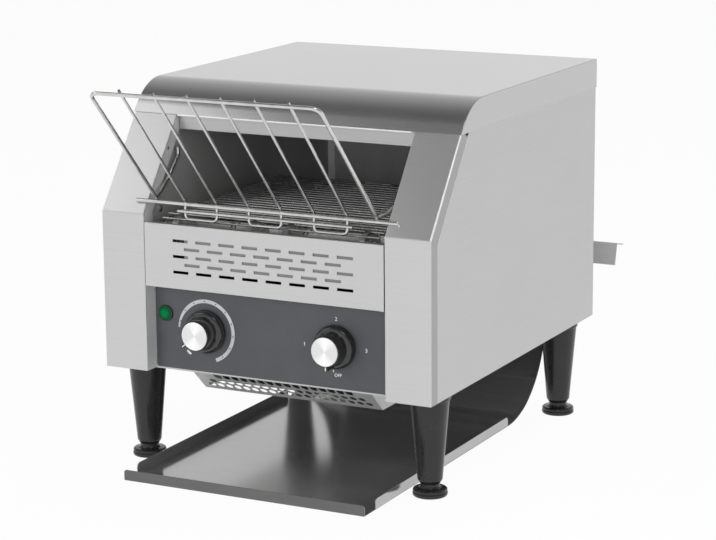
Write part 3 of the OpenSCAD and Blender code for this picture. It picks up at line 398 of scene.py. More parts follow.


# %% [markdown]
# The cabinet is brushed sheet with fine level scratches and hardly any blotch. The side
# panels, the control panel and the rear panel show its plain tone; the posts' fronts and the
# perforated panel get a paler copy as painted light, and the lintel and the strips beside
# the side panels darker copies as painted shade. One dictionary holds what these four share.
# The flange that lines the mouth is a paler, less metallic copy as painted light, and the
# pale bead finish is a painted highlight. The hood is the most polished sheet. The trough's
# rear wall is painted nearly black as shade.

# %% Sheet of the cabinet
BRUSHED = dict(rough=(0.32, 0.38), metallic=0.92, grain=0.8, blotch=9, bump=0.08)
body_steel = finish("brushed_cabinet_steel", grey(0.49), grey(0.56), **BRUSHED)
# paler copy of the cabinet steel: painted light on the fronts that face the lamps
front_lit_steel = finish("brushed_steel_painted_light", grey(0.56), grey(0.62), **BRUSHED)
# darker copy: painted shade on the lintel, recessed under the hood
lintel_painted_shade = finish("lintel_painted_shade", grey(0.44), grey(0.52), **BRUSHED)
# darker copy: painted shade of the hood on the strips beside the side panels
side_strip_shade_steel = finish("post_side_painted_shade", grey(0.34), grey(0.40), **BRUSHED)
# paler, less metallic copy: painted light on the flange that lines the mouth
flange_lit_steel = finish("inner_flange_painted_light", grey(0.56), grey(0.64), (0.4, 0.5), 0.3,
                      grain=0.8, blotch=9, bump=0.05)
spacer_steel = finish("spacer_steel", grey(0.54), grey(0.62), (0.36, 0.44), 0.55,
                      grain=0.8, blotch=9, bump=0.06)
hood_steel = finish("bright_hood_steel", grey(0.49), grey(0.55), (0.20, 0.26), 0.95,
                    grain=0.7, blotch=9, bump=0.04)
# pale, nearly non-metal finish: a painted highlight line on the hood's bead and the posts' leaning edges
highlight_paint = finish("painted_highlight_line", grey(0.74), grey(0.84), (0.30, 0.40), 0.25, blotch=60)
vent_steel = finish("punched_sheet", grey(0.52), grey(0.62), (0.38, 0.48), 0.5, blotch=60, bump=0.04)
shaded_sheet = finish("unlit_sheet", grey(0.020), grey(0.035), (0.5, 0.6), 0.3, blotch=60, bump=0.05)

# %% [markdown]
# Inside, heat has dulled and stained the chamber's sheet, so its finishes are darker and
# rougher. The baffle behind the slots is painted dark and the shield under the belt nearly
# black, both as shade, and the strips in the corners are painted pale as a highlight. The
# tray is smooth enough to mirror the cabinet over it, and the front of its lip is painted
# dark as shade.

# %% Sheet of the chamber and the tray
tray_steel = finish("tray_steel", grey(0.40), grey(0.50), (0.10, 0.17), 0.82, grain=0.7, blotch=14, bump=0.04)
# dark copy of the tray steel: painted shade on the front of the lip
lip_shade_steel = finish("tray_lip_painted_shade", grey(0.12), grey(0.18), (0.30, 0.40), 0.85,
                   grain=0.7, blotch=14, bump=0.04)
# painted shade: the baffle behind the slots is darkened so that the slots look shaded
baffle_shade_steel = finish("baffle_painted_shade", grey(0.20), grey(0.28), (0.45, 0.55), 0.7,
                      grain=0.5, blotch=30, bump=0.05)
rear_wall_steel = finish("chamber_rear_sheet", grey(0.50), grey(0.62), (0.35, 0.5), 0.3, blotch=12, bump=0.05)
# painted shade: the shield seen between the belt wires is nearly black
shield_shade_steel = finish("shield_painted_shade", grey(0.035), grey(0.06), (0.45, 0.6), 0.4, blotch=30, bump=0.05)
# painted highlight: pale strips standing in for the bright reflection in the chamber's corners
strip_highlight_steel = finish("strip_painted_highlight", grey(0.80), grey(0.92), (0.25, 0.35), 0.1, grain=0.6, blotch=20)
dull_steel = finish("plated_sheet", grey(0.36), grey(0.46, 0.45), (0.38, 0.52), 0.8, blotch=60, bump=0.05)
oven_steel = finish("heat_stained_sheet", grey(0.26), grey(0.34), (0.40, 0.52), 0.35,
                    grain=0.4, blotch=12, bump=0.04)

# %% [markdown]
# Rack, belt and shafts are bare metal all through. Their blotches are small, because a
# wire is thin, and the drive's chain is dark with oil.

# %% Wire, shafts and drive
wire_steel = finish("bright_rack_wire", grey(0.56), grey(0.70, 0.69), (0.14, 0.26), 1.0, blotch=120)
belt_steel = finish("belt_wire", (0.38, 0.375, 0.37), (0.66, 0.655, 0.65), (0.18, 0.30), 0.95, blotch=70)
axle_steel = finish("turned_steel", grey(0.48), grey(0.62), (0.24, 0.34), 1.0, blotch=90)
chain_steel = finish("oiled_steel", grey(0.16), grey(0.30, 0.29), (0.28, 0.45), 1.0, blotch=200)
bronze = finish("sintered_bronze", (0.42, 0.26, 0.10), (0.60, 0.40, 0.18), (0.40, 0.55), 1.0, blotch=200)
motor_metal = finish("cast_housing", grey(0.30), grey(0.42), (0.4, 0.55), 1.0, blotch=60, bump=0.2)

# %% [markdown]
# What isn't metal: the control panel's dark paint and its print, moulded plastic with a
# fine texture, the smooth nylon of the legs, the knobs' gloss, and the heaters' ceramic
# and frosted quartz.

# %% Paint, plastic, print, ceramic and quartz
fascia_paint = finish("fascia_paint", (0.058, 0.060, 0.066), (0.070, 0.072, 0.079), (0.42, 0.5),
                      blotch=40, bump=0.05, bump_scale=2500)
print_white = finish("panel_print", grey(0.66), grey(0.76), (0.5, 0.6), blotch=300)
print_grey = finish("band_print", (0.46, 0.46, 0.49), (0.54, 0.54, 0.57), (0.5, 0.6), blotch=300)
moulded = finish("moulded_plastic", grey(0.014), grey(0.024), (0.32, 0.45), blotch=60, bump=0.15,
                 bump_scale=1500)
leg_nylon = finish("leg_nylon", grey(0.011), grey(0.017), (0.22, 0.30), blotch=40, bump=0.04,
                   coat=0.1, specular=0.4)
knob_black = finish("knob_black", grey(0.008), grey(0.015), (0.14, 0.24), blotch=90, coat=0.5)
ceramic = finish("glazed_ceramic", (0.70, 0.68, 0.62), (0.82, 0.80, 0.74), (0.25, 0.4), blotch=80)
quartz = finish("frosted_quartz", (0.66, 0.64, 0.60), (0.80, 0.78, 0.75), (0.2, 0.35), blotch=150, coat=0.6)

# %% [markdown]
# The knobs carry a spun metal disc: its scratches run in circles, so light fans out from
# the middle. Those fans are a painted sheen: a tone that varies with the angle round the
# disc's centre paints them, the same from every side, and a noise that varies with the
# radius gives the fine rings.

# %% Spun disc finish
# the fans are a painted sheen: pale tones in the base colour standing in for reflected light
SHEEN_FANS, SHEEN_TURN = 2.0, 1.35  # pale fans in a turn; radians they are turned by
SHEEN_FROM = -0.4  # the sine's value at which a fan begins
SHEEN_TONES = (0.76, 0.98)
RING_SCALE, RING_DEPTH, RING_BASE = 4000, 0.2, 0.88


def spun(name, centre):
    """Bright metal with painted fans of light round a centre and fine rings, for a disc that faces along Y.
    """
    mat = finish(name, grey(0.62), grey(0.80), (0.25, 0.35), 0.75, blotch=100)
    tree = mat.node_tree
    place = tree.nodes.new("ShaderNodeTexCoord").outputs["Object"]
    centred = tree.nodes.new("ShaderNodeMapping")
    centred.inputs["Location"].default_value = -centre
    tree.links.new(place, centred.inputs["Vector"])
    parts = tree.nodes.new("ShaderNodeSeparateXYZ")
    tree.links.new(centred.outputs[0], parts.inputs[0])
    angle = math_node(tree, "ARCTAN2", parts.outputs["Z"], parts.outputs["X"])
    sheen_angle = math_node(tree, "SUBTRACT", math_node(tree, "MULTIPLY", angle, SHEEN_FANS), SHEEN_TURN)
    sheen_tone = map_range(tree, math_node(tree, "SINE", sheen_angle), SHEEN_FROM, 1.0, *SHEEN_TONES)
    radius = tree.nodes.new("ShaderNodeVectorMath")
    radius.operation = "LENGTH"
    tree.links.new(centred.outputs[0], radius.inputs[0])
    rings = tree.nodes.new("ShaderNodeTexNoise")
    rings.noise_dimensions = "1D"
    rings.inputs["Scale"].default_value = RING_SCALE
    tree.links.new(radius.outputs["Value"], rings.inputs["W"])
    ring_tone = math_node(tree, "MULTIPLY", rings.outputs["Fac"], RING_DEPTH)
    ring_tone = math_node(tree, "ADD", ring_tone, RING_BASE)
    shade = math_node(tree, "MULTIPLY", sheen_tone, ring_tone)
    tone = tree.nodes.new("ShaderNodeCombineColor")
    for channel in tone.inputs:
        tree.links.new(shade, channel)
    tree.links.new(tone.outputs[0], tree.nodes["Principled BSDF"].inputs["Base Color"])
    return mat


def middle(node):
    """The centre of a CAD node's box."""
    low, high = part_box(node)
    return (low + high) / 2


speed_disc_sheen = spun("spun_speed_disc_painted_sheen", middle("speed_knob_disc"))
mode_disc_sheen = spun("spun_mode_disc_painted_sheen", middle("mode_knob_disc"))

# %% [markdown]
# The pilot lamp's lens is clear green plastic with a lamp behind it: mostly a deep green,
# a glossy dome, and a glow that fades from the middle to the rim.

# %% Lamp finish
GLOW_RIM, GLOW_CORE = 0.0075, 0.0045  # metres from the centre
lamp_green = finish("pilot_lamp_green", (0.0, 0.06, 0.017), (0.0, 0.09, 0.026), (0.10, 0.18), blotch=200,
                    specular=0.06)
lamp_tree = lamp_green.node_tree
lamp_shader = lamp_tree.nodes["Principled BSDF"]
lamp_centre = middle("lamp_lens")
from_centre = lamp_tree.nodes.new("ShaderNodeVectorMath")
from_centre.operation = "DISTANCE"
from_centre.inputs[1].default_value = lamp_centre
lamp_tree.links.new(lamp_tree.nodes.new("ShaderNodeTexCoord").outputs["Object"], from_centre.inputs[0])
glow = map_range(lamp_tree, from_centre.outputs["Value"], GLOW_RIM, GLOW_CORE, 0.02, 0.40)
lamp_tree.links.new(glow, lamp_shader.inputs["Emission Strength"])
lamp_shader.inputs["Emission Color"].default_value = (0.01, 0.42, 0.14, 1)

# %% [markdown]
# ## Pieces
# Every new piece ends the same way: its mesh gets a finish and smooth or flat faces, and
# its object rides on a body of the toaster.


# %% Tool for finished pieces
def piece(name, mesh, material, body, smooth=True):
    """An object for a finished mesh, with its finish and its body."""
    mesh.name = name
    mesh.materials.clear()
    mesh.materials.append(material)
    for polygon in mesh.polygons:
        polygon.use_smooth = smooth
    made = new_object(name, mesh)
    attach(made, body)
    print(name, len(mesh.polygons), "faces")
    return made


# %% [markdown]
# ## Wires as curves
# A bent wire is a line with a thickness, so a curve with a round bevel is the natural
# way to make one: the path says where the wire goes and the bevel depth is its radius.
# The curve is turned into a mesh at the end, so that it is a plain mesh like any other piece.


# %% Tools for wires
def curve_mesh(name, curve):
    """A curve or a text as a plain mesh."""
    holder = new_object(name + "_curve", curve)
    bpy.context.view_layer.update()
    mesh = bpy.data.meshes.new_from_object(holder.evaluated_get(bpy.context.evaluated_depsgraph_get()))
    bpy.data.objects.remove(holder)
    return mesh


def wires(name, paths, radius, sides, material, body):
    """One mesh of round wires. paths are lists of points in metres; sides is a ring's vertex count."""
    curve = bpy.data.curves.new(name, "CURVE")
    curve.dimensions = "3D"
    curve.bevel_depth = radius * MM
    curve.bevel_resolution = sides // 2 - 2
    curve.use_fill_caps = True
    for path in paths:
        spline = curve.splines.new("POLY")
        spline.points.add(len(path) - 1)
        for point, place in zip(spline.points, path):
            point.co = (*place, 1)
    return piece(name, curve_mesh(name, curve), material, body)


# %% [markdown]
# ## Softened sheet metal
# A folded sheet never has a knife edge: the fold is a small arc, and that arc catches a
# line of light. The solid model has square corners, so each visible sheet gets a copy
# whose corners are bevelled in a bmesh. First its loose triangles are merged and its flat
# faces joined, then the folds get their own radius and all other edges a fine one. Each
# bevel is followed by a merge, because a point left double turns the shading round it. A
# Weighted Normal modifier keeps the flat faces flat next to those small arcs.

# %% Tool for softened sheets
CLOSE = 0.03  # millimetres; nearer than this is the same place
EDGE_FROM = math.radians(32)  # faces that meet more sharply form an edge
CREASE_FROM = math.radians(50)  # and these stay a crease in the shading
SAME_POINT = 2e-6  # metres; loose triangles are merged below this
FLAT = math.radians(0.5)  # triangles that meet more flatly are one face


def drawn(point):
    """A point of the frame as drawing coordinates in millimetres."""
    return point.x / MM, (point.y - POST_FRONT) / MM, point.z / MM


def near(*values):
    """True if all the values are the same place."""
    return max(values) - min(values) < CLOSE


def softened(node, material, folds=(), fine=0.25, body="cabinet", others=()):
    """A copy of a sheet with rounded edges. folds are (test on an edge's two ends, radius, segments);
    others are (finish, test on a face's middle) for faces with a finish of their own."""
    bm = bmesh.new()
    bm.from_mesh(nodes[node].data)
    bmesh.ops.remove_doubles(bm, verts=bm.verts, dist=SAME_POINT)
    bmesh.ops.dissolve_limit(bm, angle_limit=FLAT, verts=bm.verts, edges=bm.edges)
    for test, radius, segments in [*folds, (lambda p, q: True, fine, 2)]:
        sharp = [edge for edge in bm.edges if len(edge.link_faces) == 2
                 and edge.calc_face_angle() > EDGE_FROM
                 and test(*(drawn(vert.co) for vert in edge.verts))]
        bmesh.ops.bevel(bm, geom=sharp, offset=radius * MM, offset_type="OFFSET", affect="EDGES",
                        segments=segments, profile=0.5, material=-1, clamp_overlap=False)
        bmesh.ops.remove_doubles(bm, verts=bm.verts, dist=CLOSE * MM)
    mesh = mesh_from(node, bm)
    mesh.set_sharp_from_angle(angle=CREASE_FROM)
    made = piece(node + "_soft", mesh, material, body)
    for index, (own_finish, own_face) in enumerate(others, 1):
        mesh.materials.append(own_finish)
        for polygon in mesh.polygons:
            if own_face(drawn(polygon.center)):
                polygon.material_index = index
    made.modifiers.new("even_shading", "WEIGHTED_NORMAL").keep_sharp = True
    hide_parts(node)


# %% [markdown]
# The front posts are folded twice: at the height where they begin to lean back, and along
# both sides of their face. Three groups of their faces carry painted light and shade: the
# flange that lines the mouth is painted lit, the narrow strip beside the side panel is
# painted in the hood's shade, and the round of the leaning edge is painted pale as a
# highlight line.

# %% Front posts
FOLD_Z, LEAN = 265.5, math.radians(36.7)
PANEL_X, MOUTH_X = 184.0, 134.5
BEHIND = 0.5  # a side face's middle lies deeper than this
ROUND_FROM, ROUND_TO, ROUND_DEPTH = 182.62, 183.98, 1.5  # the leaning edge's round, in X and in depth


def slope_depth(p):
    """How far a point lies behind the posts' leaning face."""
    return (p[1] - (p[2] - FOLD_Z) * math.tan(LEAN)) * math.cos(LEAN)


def on_post_front(p):
    """True on the outer surface of the posts' two faces."""
    return abs(p[1] if p[2] <= FOLD_Z + CLOSE else slope_depth(p)) < CLOSE


def post_fold(p, q):
    """True on the folds at the sides of a post's face and at its knee."""
    upright = near(p[0], q[0]) and any(near(abs(p[0]), x) for x in (PANEL_X, MOUTH_X))
    return on_post_front(p) and on_post_front(q) and (upright or near(p[2], q[2], FOLD_Z))


def mouth_face(p):
    """True on the flange that lines the mouth."""
    return near(abs(p[0]), MOUTH_X) and p[1] > BEHIND


def side_strip(p):
    """True on the strip beside the side panel."""
    return near(abs(p[0]), PANEL_X) and p[1] > BEHIND


def slope_edge(p):
    """True on the rounded edge between a post's slope and its side."""
    return p[2] > FOLD_Z and ROUND_FROM < abs(p[0]) < ROUND_TO and slope_depth(p) < ROUND_DEPTH


# the mouth flange is painted lit, the side strip painted in shade, the edge's round a painted highlight
for hand in ("left", "right"):
    softened(hand + "_front_post", front_lit_steel, [(post_fold, 1.4, 3)],
             others=[(flange_lit_steel, mouth_face), (side_strip_shade_steel, side_strip), (highlight_paint, slope_edge)])
    softened(hand + "_side_panel", body_steel, fine=0.3)

# %% [markdown]
# The other sheets of the cabinet are simpler: the hood folds down at its two sides, the
# perforated panel and the lintel fold back at the long edges of their face, and the rest
# are flat plates with eased edges.

# %% Hood, panels and rear
HOOD_X, HOOD_SIDE_TOP = 184.8, 357.1
SLOT_PANEL_FOLDS = (257.8, 192)
LINTEL_FRONT = 72.43


def hood_fold(p, q):
    """True on the folds along the hood's sides."""
    return near(p[0], q[0]) and near(abs(p[0]), HOOD_X) and min(p[2], q[2]) > HOOD_SIDE_TOP


def slot_panel_fold(p, q):
    """True on the folds along the top and the foot of the perforated panel."""
    return near(p[1], q[1], 0) and any(near(p[2], q[2], z) for z in SLOT_PANEL_FOLDS)


def lintel_fold(p, q):
    """True on the lintel's front edges."""
    return near(p[1], q[1], LINTEL_FRONT)


softened("top_cover", hood_steel, [(hood_fold, 1.2, 3)], fine=0.2)
softened("perforated_panel", front_lit_steel, [(slot_panel_fold, 0.9, 3)], fine=0.2)
softened("control_panel", body_steel)
softened("lintel", lintel_painted_shade, [(lintel_fold, 0.8, 3)], fine=0.2)
softened("rear_spacer", spacer_steel, fine=0.4)
softened("rear_panel", body_steel, fine=0.3)

# %% [markdown]
# Under the control panel a punched trough lets the fan draw air. Its sloped face has three
# rows of holes with thin bars between them: two rows of round holes, and one of long holes
# at the top. The face is one flat sheet with holes in its outline, so it is drawn as edge
# loops and filled; the flange, the ends and the rear wall join on at the folds, and a
# Solidify modifier gives the sheet its thickness.

# %% Sizes of the punched trough
VENT_HALF, VENT_SHEET = 102.2, 0.9  # half its width; its sheet's thickness
VENT_FOLD, VENT_SLOPE = 60.7, math.radians(42)  # Y of the fold at the slope's foot
VENT_REAR = (88.0, 99.5)  # Y of the rear wall's foot and top
VENT_FLANGE = 18.5  # Y of the flange's front edge
# behind this Y the trough's sheet is painted nearly black as shade
UNLIT_FROM = 90  # behind this Y the sheet is in the dark
HOLE_R, HOLE_PITCH, HOLE_SIDES = 4.2, 10.05, 20
HOLE_ROWS = ((19, 8.6, 8.6), (18, 17.3, 17.3), (16, 27.4, 35.4))  # holes, lowest and highest centre
vent_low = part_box("vent_grille")[0].z / MM
vent_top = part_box("control_panel")[0].z / MM
face_length = (vent_top - vent_low) / math.sin(VENT_SLOPE)
slope_top = VENT_FOLD - face_length * math.cos(VENT_SLOPE)
print("sloped face", round(face_length, 1), "mm long")


# %% Punched trough
def on_slope(x, up):
    """A point of the sloped face, from its distance up the slope."""
    return x, VENT_FOLD - up * math.cos(VENT_SLOPE), vent_low + up * math.sin(VENT_SLOPE)


def closed_loop(bm, points):
    """The edges of a closed loop through some points."""
    verts = [bm.verts.new(p) for p in points]
    return [bm.edges.new(pair) for pair in zip(verts, verts[1:] + verts[:1])]


def hole(x, low, high):
    """The outline of a round or long hole, as points of the sloped face."""
    turn = [math.tau * k / HOLE_SIDES + math.tau / (2 * HOLE_SIDES) for k in range(HOLE_SIDES)]
    return [on_slope(x + HOLE_R * math.cos(a), (high if math.sin(a) >= 0 else low) + HOLE_R * math.sin(a))
            for a in turn]


bm = bmesh.new()
loops = closed_loop(bm, [on_slope(-VENT_HALF, 0), on_slope(VENT_HALF, 0),
                         on_slope(VENT_HALF, face_length), on_slope(-VENT_HALF, face_length)])
for count, low, high in HOLE_ROWS:
    for i in range(count):
        loops += closed_loop(bm, hole((i - (count - 1) / 2) * HOLE_PITCH, low, high))
bmesh.ops.triangle_fill(bm, use_beauty=True, edges=loops)
for x in (-VENT_HALF, VENT_HALF):
    closed_loop(bm, [(x, slope_top, vent_top), (x, VENT_FOLD, vent_low), (x, VENT_REAR[0], vent_low),
                     (x, VENT_REAR[1], vent_top)])
    bm.verts.ensure_lookup_table()
    bm.faces.new(bm.verts[-4:])
for (y0, z0), (y1, z1) in (((VENT_FLANGE, vent_top), (slope_top, vent_top)),
                           ((VENT_REAR[0], vent_low), (VENT_REAR[1], vent_top))):
    bm.faces.new([bm.verts.new(p) for p in ((-VENT_HALF, y0, z0), (VENT_HALF, y0, z0), (VENT_HALF, y1, z1),
                                            (-VENT_HALF, y1, z1))])
bmesh.ops.remove_doubles(bm, verts=bm.verts, dist=0.01)
bmesh.ops.recalc_face_normals(bm, faces=bm.faces)
put(bm, (0, POST_FRONT, 0))
vent_mesh = mesh_from("vent_trough", bm)
vent_trough = piece("vent_trough", vent_mesh, vent_steel, "cabinet", smooth=False)
# faces at the back of the trough get painted shade, nearly black
vent_mesh.materials.append(shaded_sheet)
for polygon in vent_mesh.polygons:
    polygon.material_index = int(drawn(polygon.center)[1] > UNLIT_FROM)
sheet = vent_trough.modifiers.new("sheet", "SOLIDIFY")
sheet.thickness, sheet.offset = VENT_SHEET * MM, -1
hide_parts("vent_grille")

# %% [markdown]
# The hood's front edge is rolled into a thin bead between the posts, so that nobody cuts
# a finger on it. Its pale finish is a painted highlight: one bright line over the mouth.

# %% Bead on the hood's edge
BEAD_LEFT, BEAD_RIGHT, BEAD_Y, BEAD_Z, BEAD_R = -133.2, 131.6, 68.0, 356.3, 1.0
bead_path = [at(x, BEAD_Y, BEAD_Z) for x in (BEAD_LEFT, BEAD_RIGHT)]
wires("hood_bead", [bead_path], BEAD_R, 16, highlight_paint, "cabinet")

# %% [markdown]
# The tray is one sheet: a low lip in front with rounded corners, a flat floor, low side
# flanges and a tall curved back that stops the toast.

# %% Tray
TRAY_X, TRAY_UNDER = 135.8, 0.3
LIP_Y, LIP_TOP, LIP_SHEET = -47.5, 11.6, 1.1
LIP_FACE = 0.2  # the middle of a face on the lip's front lies less deep than this


def lip_corner(p, q):
    """True on the short edges at the lip's two upper corners."""
    return (near(p[0], q[0]) and near(abs(p[0]), TRAY_X) and near(p[2], q[2], LIP_TOP)
            and max(p[1], q[1]) < LIP_Y + LIP_SHEET)


def tray_fold(p, q):
    """True on the folds under the lip and under the side flanges."""
    return near(p[2], q[2], TRAY_UNDER) and (
        near(p[1], q[1], LIP_Y) or near(p[0], q[0]) and near(abs(p[0]), TRAY_X))


def lip_front(p):
    """True on the front of the lip."""
    return p[1] < LIP_Y + LIP_FACE


# the front of the lip is painted dark as shade
softened("toast_tray", tray_steel, [(lip_corner, 3.0, 4), (tray_fold, 0.8, 3)],
         body="toast_tray", others=[(lip_shade_steel, lip_front)])

# %% [markdown]
# ## Turned parts
# Legs, feet and knobs are bodies of revolution, so each is one profile spun round its
# axis. The corners of a profile are eased first, because moulded plastic has no sharp
# corner either.

# %% Tools for turned parts
TURNED_CREASE = math.radians(38)  # faces that meet more sharply show a crease


def eased(points, steps=5):
    """A profile with round corners. A point is (radius, height, how far from it the curve starts)."""
    out = []
    for i, (r, z, cut) in enumerate(points):
        here = Vector((r, z))
        if not cut:
            out.append(here)
            continue
        before = here + (Vector(points[i - 1][:2]) - here).normalized() * cut
        after = here + (Vector(points[i + 1][:2]) - here).normalized() * cut
        for share in (k / steps for k in range(steps + 1)):
            out.append(before.lerp(here, share).lerp(here.lerp(after, share), share))
    return [(p.x, p.y) for p in out]


def spun_mesh(profile, steps=72):
    """A bmesh of a profile in millimetres, spun round the upright axis."""
    bm = bmesh.new()
    line = [bm.verts.new((r, 0, z)) for r, z in profile]
    edges = [bm.edges.new(pair) for pair in zip(line, line[1:])]
    bmesh.ops.spin(bm, geom=line + edges, cent=(0, 0, 0), axis=(0, 0, 1), angle=math.tau, steps=steps,
                   use_merge=True)
    bmesh.ops.remove_doubles(bm, verts=bm.verts, dist=0.001)
    bmesh.ops.recalc_face_normals(bm, faces=bm.faces)
    return bm


def finished(name, bm, place, material, body, replaced, forward=False):
    """Turns a millimetre bmesh to face forward if asked, puts it at a frame point and makes the piece."""
    if forward:
        bmesh.ops.rotate(bm, verts=bm.verts, cent=(0, 0, 0), matrix=Matrix.Rotation(math.pi / 2, 3, "X"))
    put(bm, place)
    mesh = mesh_from(name, bm)
    mesh.set_sharp_from_angle(angle=TURNED_CREASE)
    made = piece(name, mesh, material, body)
    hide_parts(replaced)


# %% [markdown]
# A leg is a tapered sleeve that narrows to its foot. The foot is a screw with a wide pad:
# it turns in the leg to level the toaster, so it is a piece of its own on its own body.

# %% Legs and feet
LEG = eased([(0, 13.3, 0), (10.4, 13.3, 0.4), (12.5, 16.8, 1.0), (19.5, 98, 0.4), (20.7, 99, 0.4),
             (20.7, 102.9, 0.4), (0, 102.9, 0)])
FOOT = eased([(0, 0, 0), (16.4, 0, 0.5), (17.5, 1.2, 0.5), (17.5, 3.6, 0.3), (16.6, 3.9, 0.15),
              (16.6, 4.5, 0.15), (17.2, 4.8, 0.3), (17.2, 6.9, 0.7), (15.6, 7.9, 0.7), (11.6, 8.2, 0.8),
              (9.7, 9.8, 0.8), (9.7, 13, 0.3), (5, 13, 0), (5, 37, 0), (0, 37, 0)])
for end in ("front", "rear"):
    for hand in ("left", "right"):
        corner = f"{end}_{hand}"
        spot = middle(corner + "_leg")
        spot.z = 0
        finished(corner + "_leg_turned", spun_mesh(LEG), spot, leg_nylon, "cabinet",
                 corner + "_leg")
        spot.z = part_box(corner + "_foot")[0].z
        finished(corner + "_foot_turned", spun_mesh(FOOT, 60), spot, leg_nylon, corner + "_foot",
                 corner + "_foot")

# %% [markdown]
# A knob has a wide skirt with a sloped shoulder, a grip that narrows towards the front and
# a metal disc let into its face. A low nose on the grip carries a white line: the pointer.
# The nose is a small block with eased edges, set into the spun grip and turned with it.

# %% Knobs
KNOB = eased([(0, 5.2, 0), (9.5, 5.2, 0), (9.5, 0.05, 0), (22.4, 0.05, 0.3), (22.4, 3.6, 1.2),
              (20.9, 8.2, 2.4), (17.0, 9.0, 0.9), (16.6, 11.0, 0.9), (15.7, 22.6, 0.9), (14.9, 23.7, 0.3),
              (14.45, 23.7, 0.1), (14.45, 23.0, 0), (0, 23.0, 0)])
NOSE_Z, NOSE_LOW = 22.6, 8.0  # its front and its back, over the knob's foot
NOSE_REACH, NOSE_WIDTH, NOSE_FROM_AXIS, NOSE_ROUND = 6.4, 4.2, 16.6, 0.9
SPEED_POINTER, MODE_POINTER = -140.0, -89.0


def knob(name, pointer):
    """A knob with its nose turned to an angle in degrees, counted from the right."""
    low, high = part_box(name)
    bm = spun_mesh(KNOB)
    nose = bmesh.ops.create_cube(bm, size=1.0)["verts"]
    bmesh.ops.scale(bm, verts=nose, vec=(NOSE_REACH, NOSE_WIDTH, NOSE_Z - NOSE_LOW))
    bmesh.ops.translate(bm, verts=nose, vec=(NOSE_FROM_AXIS, 0, (NOSE_Z + NOSE_LOW) / 2))
    rim = [edge for edge in bm.edges if edge.verts[0] in nose and edge.verts[1] in nose]
    shaped = bmesh.ops.bevel(bm, geom=rim, offset=NOSE_ROUND, offset_type="OFFSET", affect="EDGES",
                             segments=3, profile=0.5, material=-1)
    nose = list({vert for face in shaped["faces"] for vert in face.verts})
    turn = Matrix.Rotation(math.radians(pointer), 3, "Z")
    bmesh.ops.rotate(bm, verts=nose, cent=(0, 0, 0), matrix=turn)
    place = Vector(((low.x + high.x) / 2, high.y, (low.z + high.z) / 2))
    finished(name + "_turned", bm, place, knob_black, name, name, forward=True)
    return place


speed_place = knob("speed_knob", SPEED_POINTER)
mode_place = knob("mode_knob", MODE_POINTER)

# %% [markdown]
# The pilot lamp is held by a thin ring with a rolled rim, a closed profile spun round the
# lamp's axis. Most of it is behind the panel.

# %% Lamp bezel
BEZEL = eased([(7.25, -6.0, 0), (7.85, -6.0, 0), (7.85, 0.05, 0), (8.45, 0.05, 0.2), (8.45, 1.1, 0.4),
               (7.9, 1.95, 0.4), (7.25, 1.95, 0.2), (7.25, -6.0, 0)])
bezel_place = Vector((lamp_centre.x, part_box("control_fascia")[0].y, lamp_centre.z))
finished("lamp_bezel_turned", spun_mesh(BEZEL), bezel_place, knob_black, "cabinet",
         "lamp_bezel", forward=True)

# %% [markdown]
# ## The wire belt
# The belt is a chain of cross wires, 11 mm apart, each hooked under the next by narrow
# loops in four columns. It runs over twelve-toothed sprockets, so twelve pitches go round
# the two ends. Every link is the same, so one link is written once in its own plane and
# then posed round the path of the belt.

# %% One belt link and its poses
BELT_PITCH, BELT_TEETH = 11.0, 12
BELT_RUN = 21  # pitches in each straight run
BELT_RADIUS = BELT_PITCH / (2 * math.sin(math.pi / BELT_TEETH))
BELT_HALF = 122.0
WIRE, LOOP_WIRE = 1.1, 0.85  # radii
HOOK_DROP = 2.3  # a loop's centre line under the next cross wire's
LOOP_COLUMNS = (-114.5, -BELT_HALF / 3, BELT_HALF / 3, 114.5)
LOOP_FOOT, LOOP_TIP, TIP_STEPS = 5.0, 1.7, 10  # half widths at the foot and at the tip
front_axle = middle("front_axle")
AXLE_Y, AXLE_Z = front_axle.y / MM, front_axle.z / MM
dip = math.atan(HOOK_DROP / BELT_PITCH)
far = (BELT_PITCH + HOOK_DROP) / math.cos(dip) - LOOP_TIP
print("a loop dips", round(math.degrees(dip), 1), "degrees and reaches", round(far + LOOP_TIP, 1), "mm")


def loop_path(x):
    """A loop's path in the link's plane: up one leg, round the tip and back, as (x, along)."""
    lean = math.atan2(far, LOOP_FOOT) + math.asin(LOOP_TIP / math.hypot(far, LOOP_FOOT))
    start = math.pi / 2 + lean
    turn = [start - 2 * lean * i / TIP_STEPS for i in range(TIP_STEPS + 1)]
    arc = [(x + LOOP_TIP * math.cos(a), far + LOOP_TIP * math.sin(a)) for a in turn]
    return [(x - LOOP_FOOT, 0.0)] + arc + [(x + LOOP_FOOT, 0.0)]


def link_pose(i):
    """Where link i's wire is, as (along, above, angle), from the front axle's centre."""
    half = BELT_TEETH // 2
    if i < BELT_RUN:
        return i * BELT_PITCH, BELT_RADIUS, 0.0
    if i < BELT_RUN + half:
        a = math.pi / 2 - (i - BELT_RUN) * math.pi / half
        return (BELT_RUN * BELT_PITCH + BELT_RADIUS * math.cos(a), BELT_RADIUS * math.sin(a),
                a - math.pi / 2 - math.pi / BELT_TEETH)
    if i < 2 * BELT_RUN + half:
        return (2 * BELT_RUN + half - i) * BELT_PITCH, -BELT_RADIUS, math.pi
    a = -math.pi / 2 - (i - 2 * BELT_RUN - half) * math.pi / half
    return BELT_RADIUS * math.cos(a), BELT_RADIUS * math.sin(a), a - math.pi / 2 - math.pi / BELT_TEETH


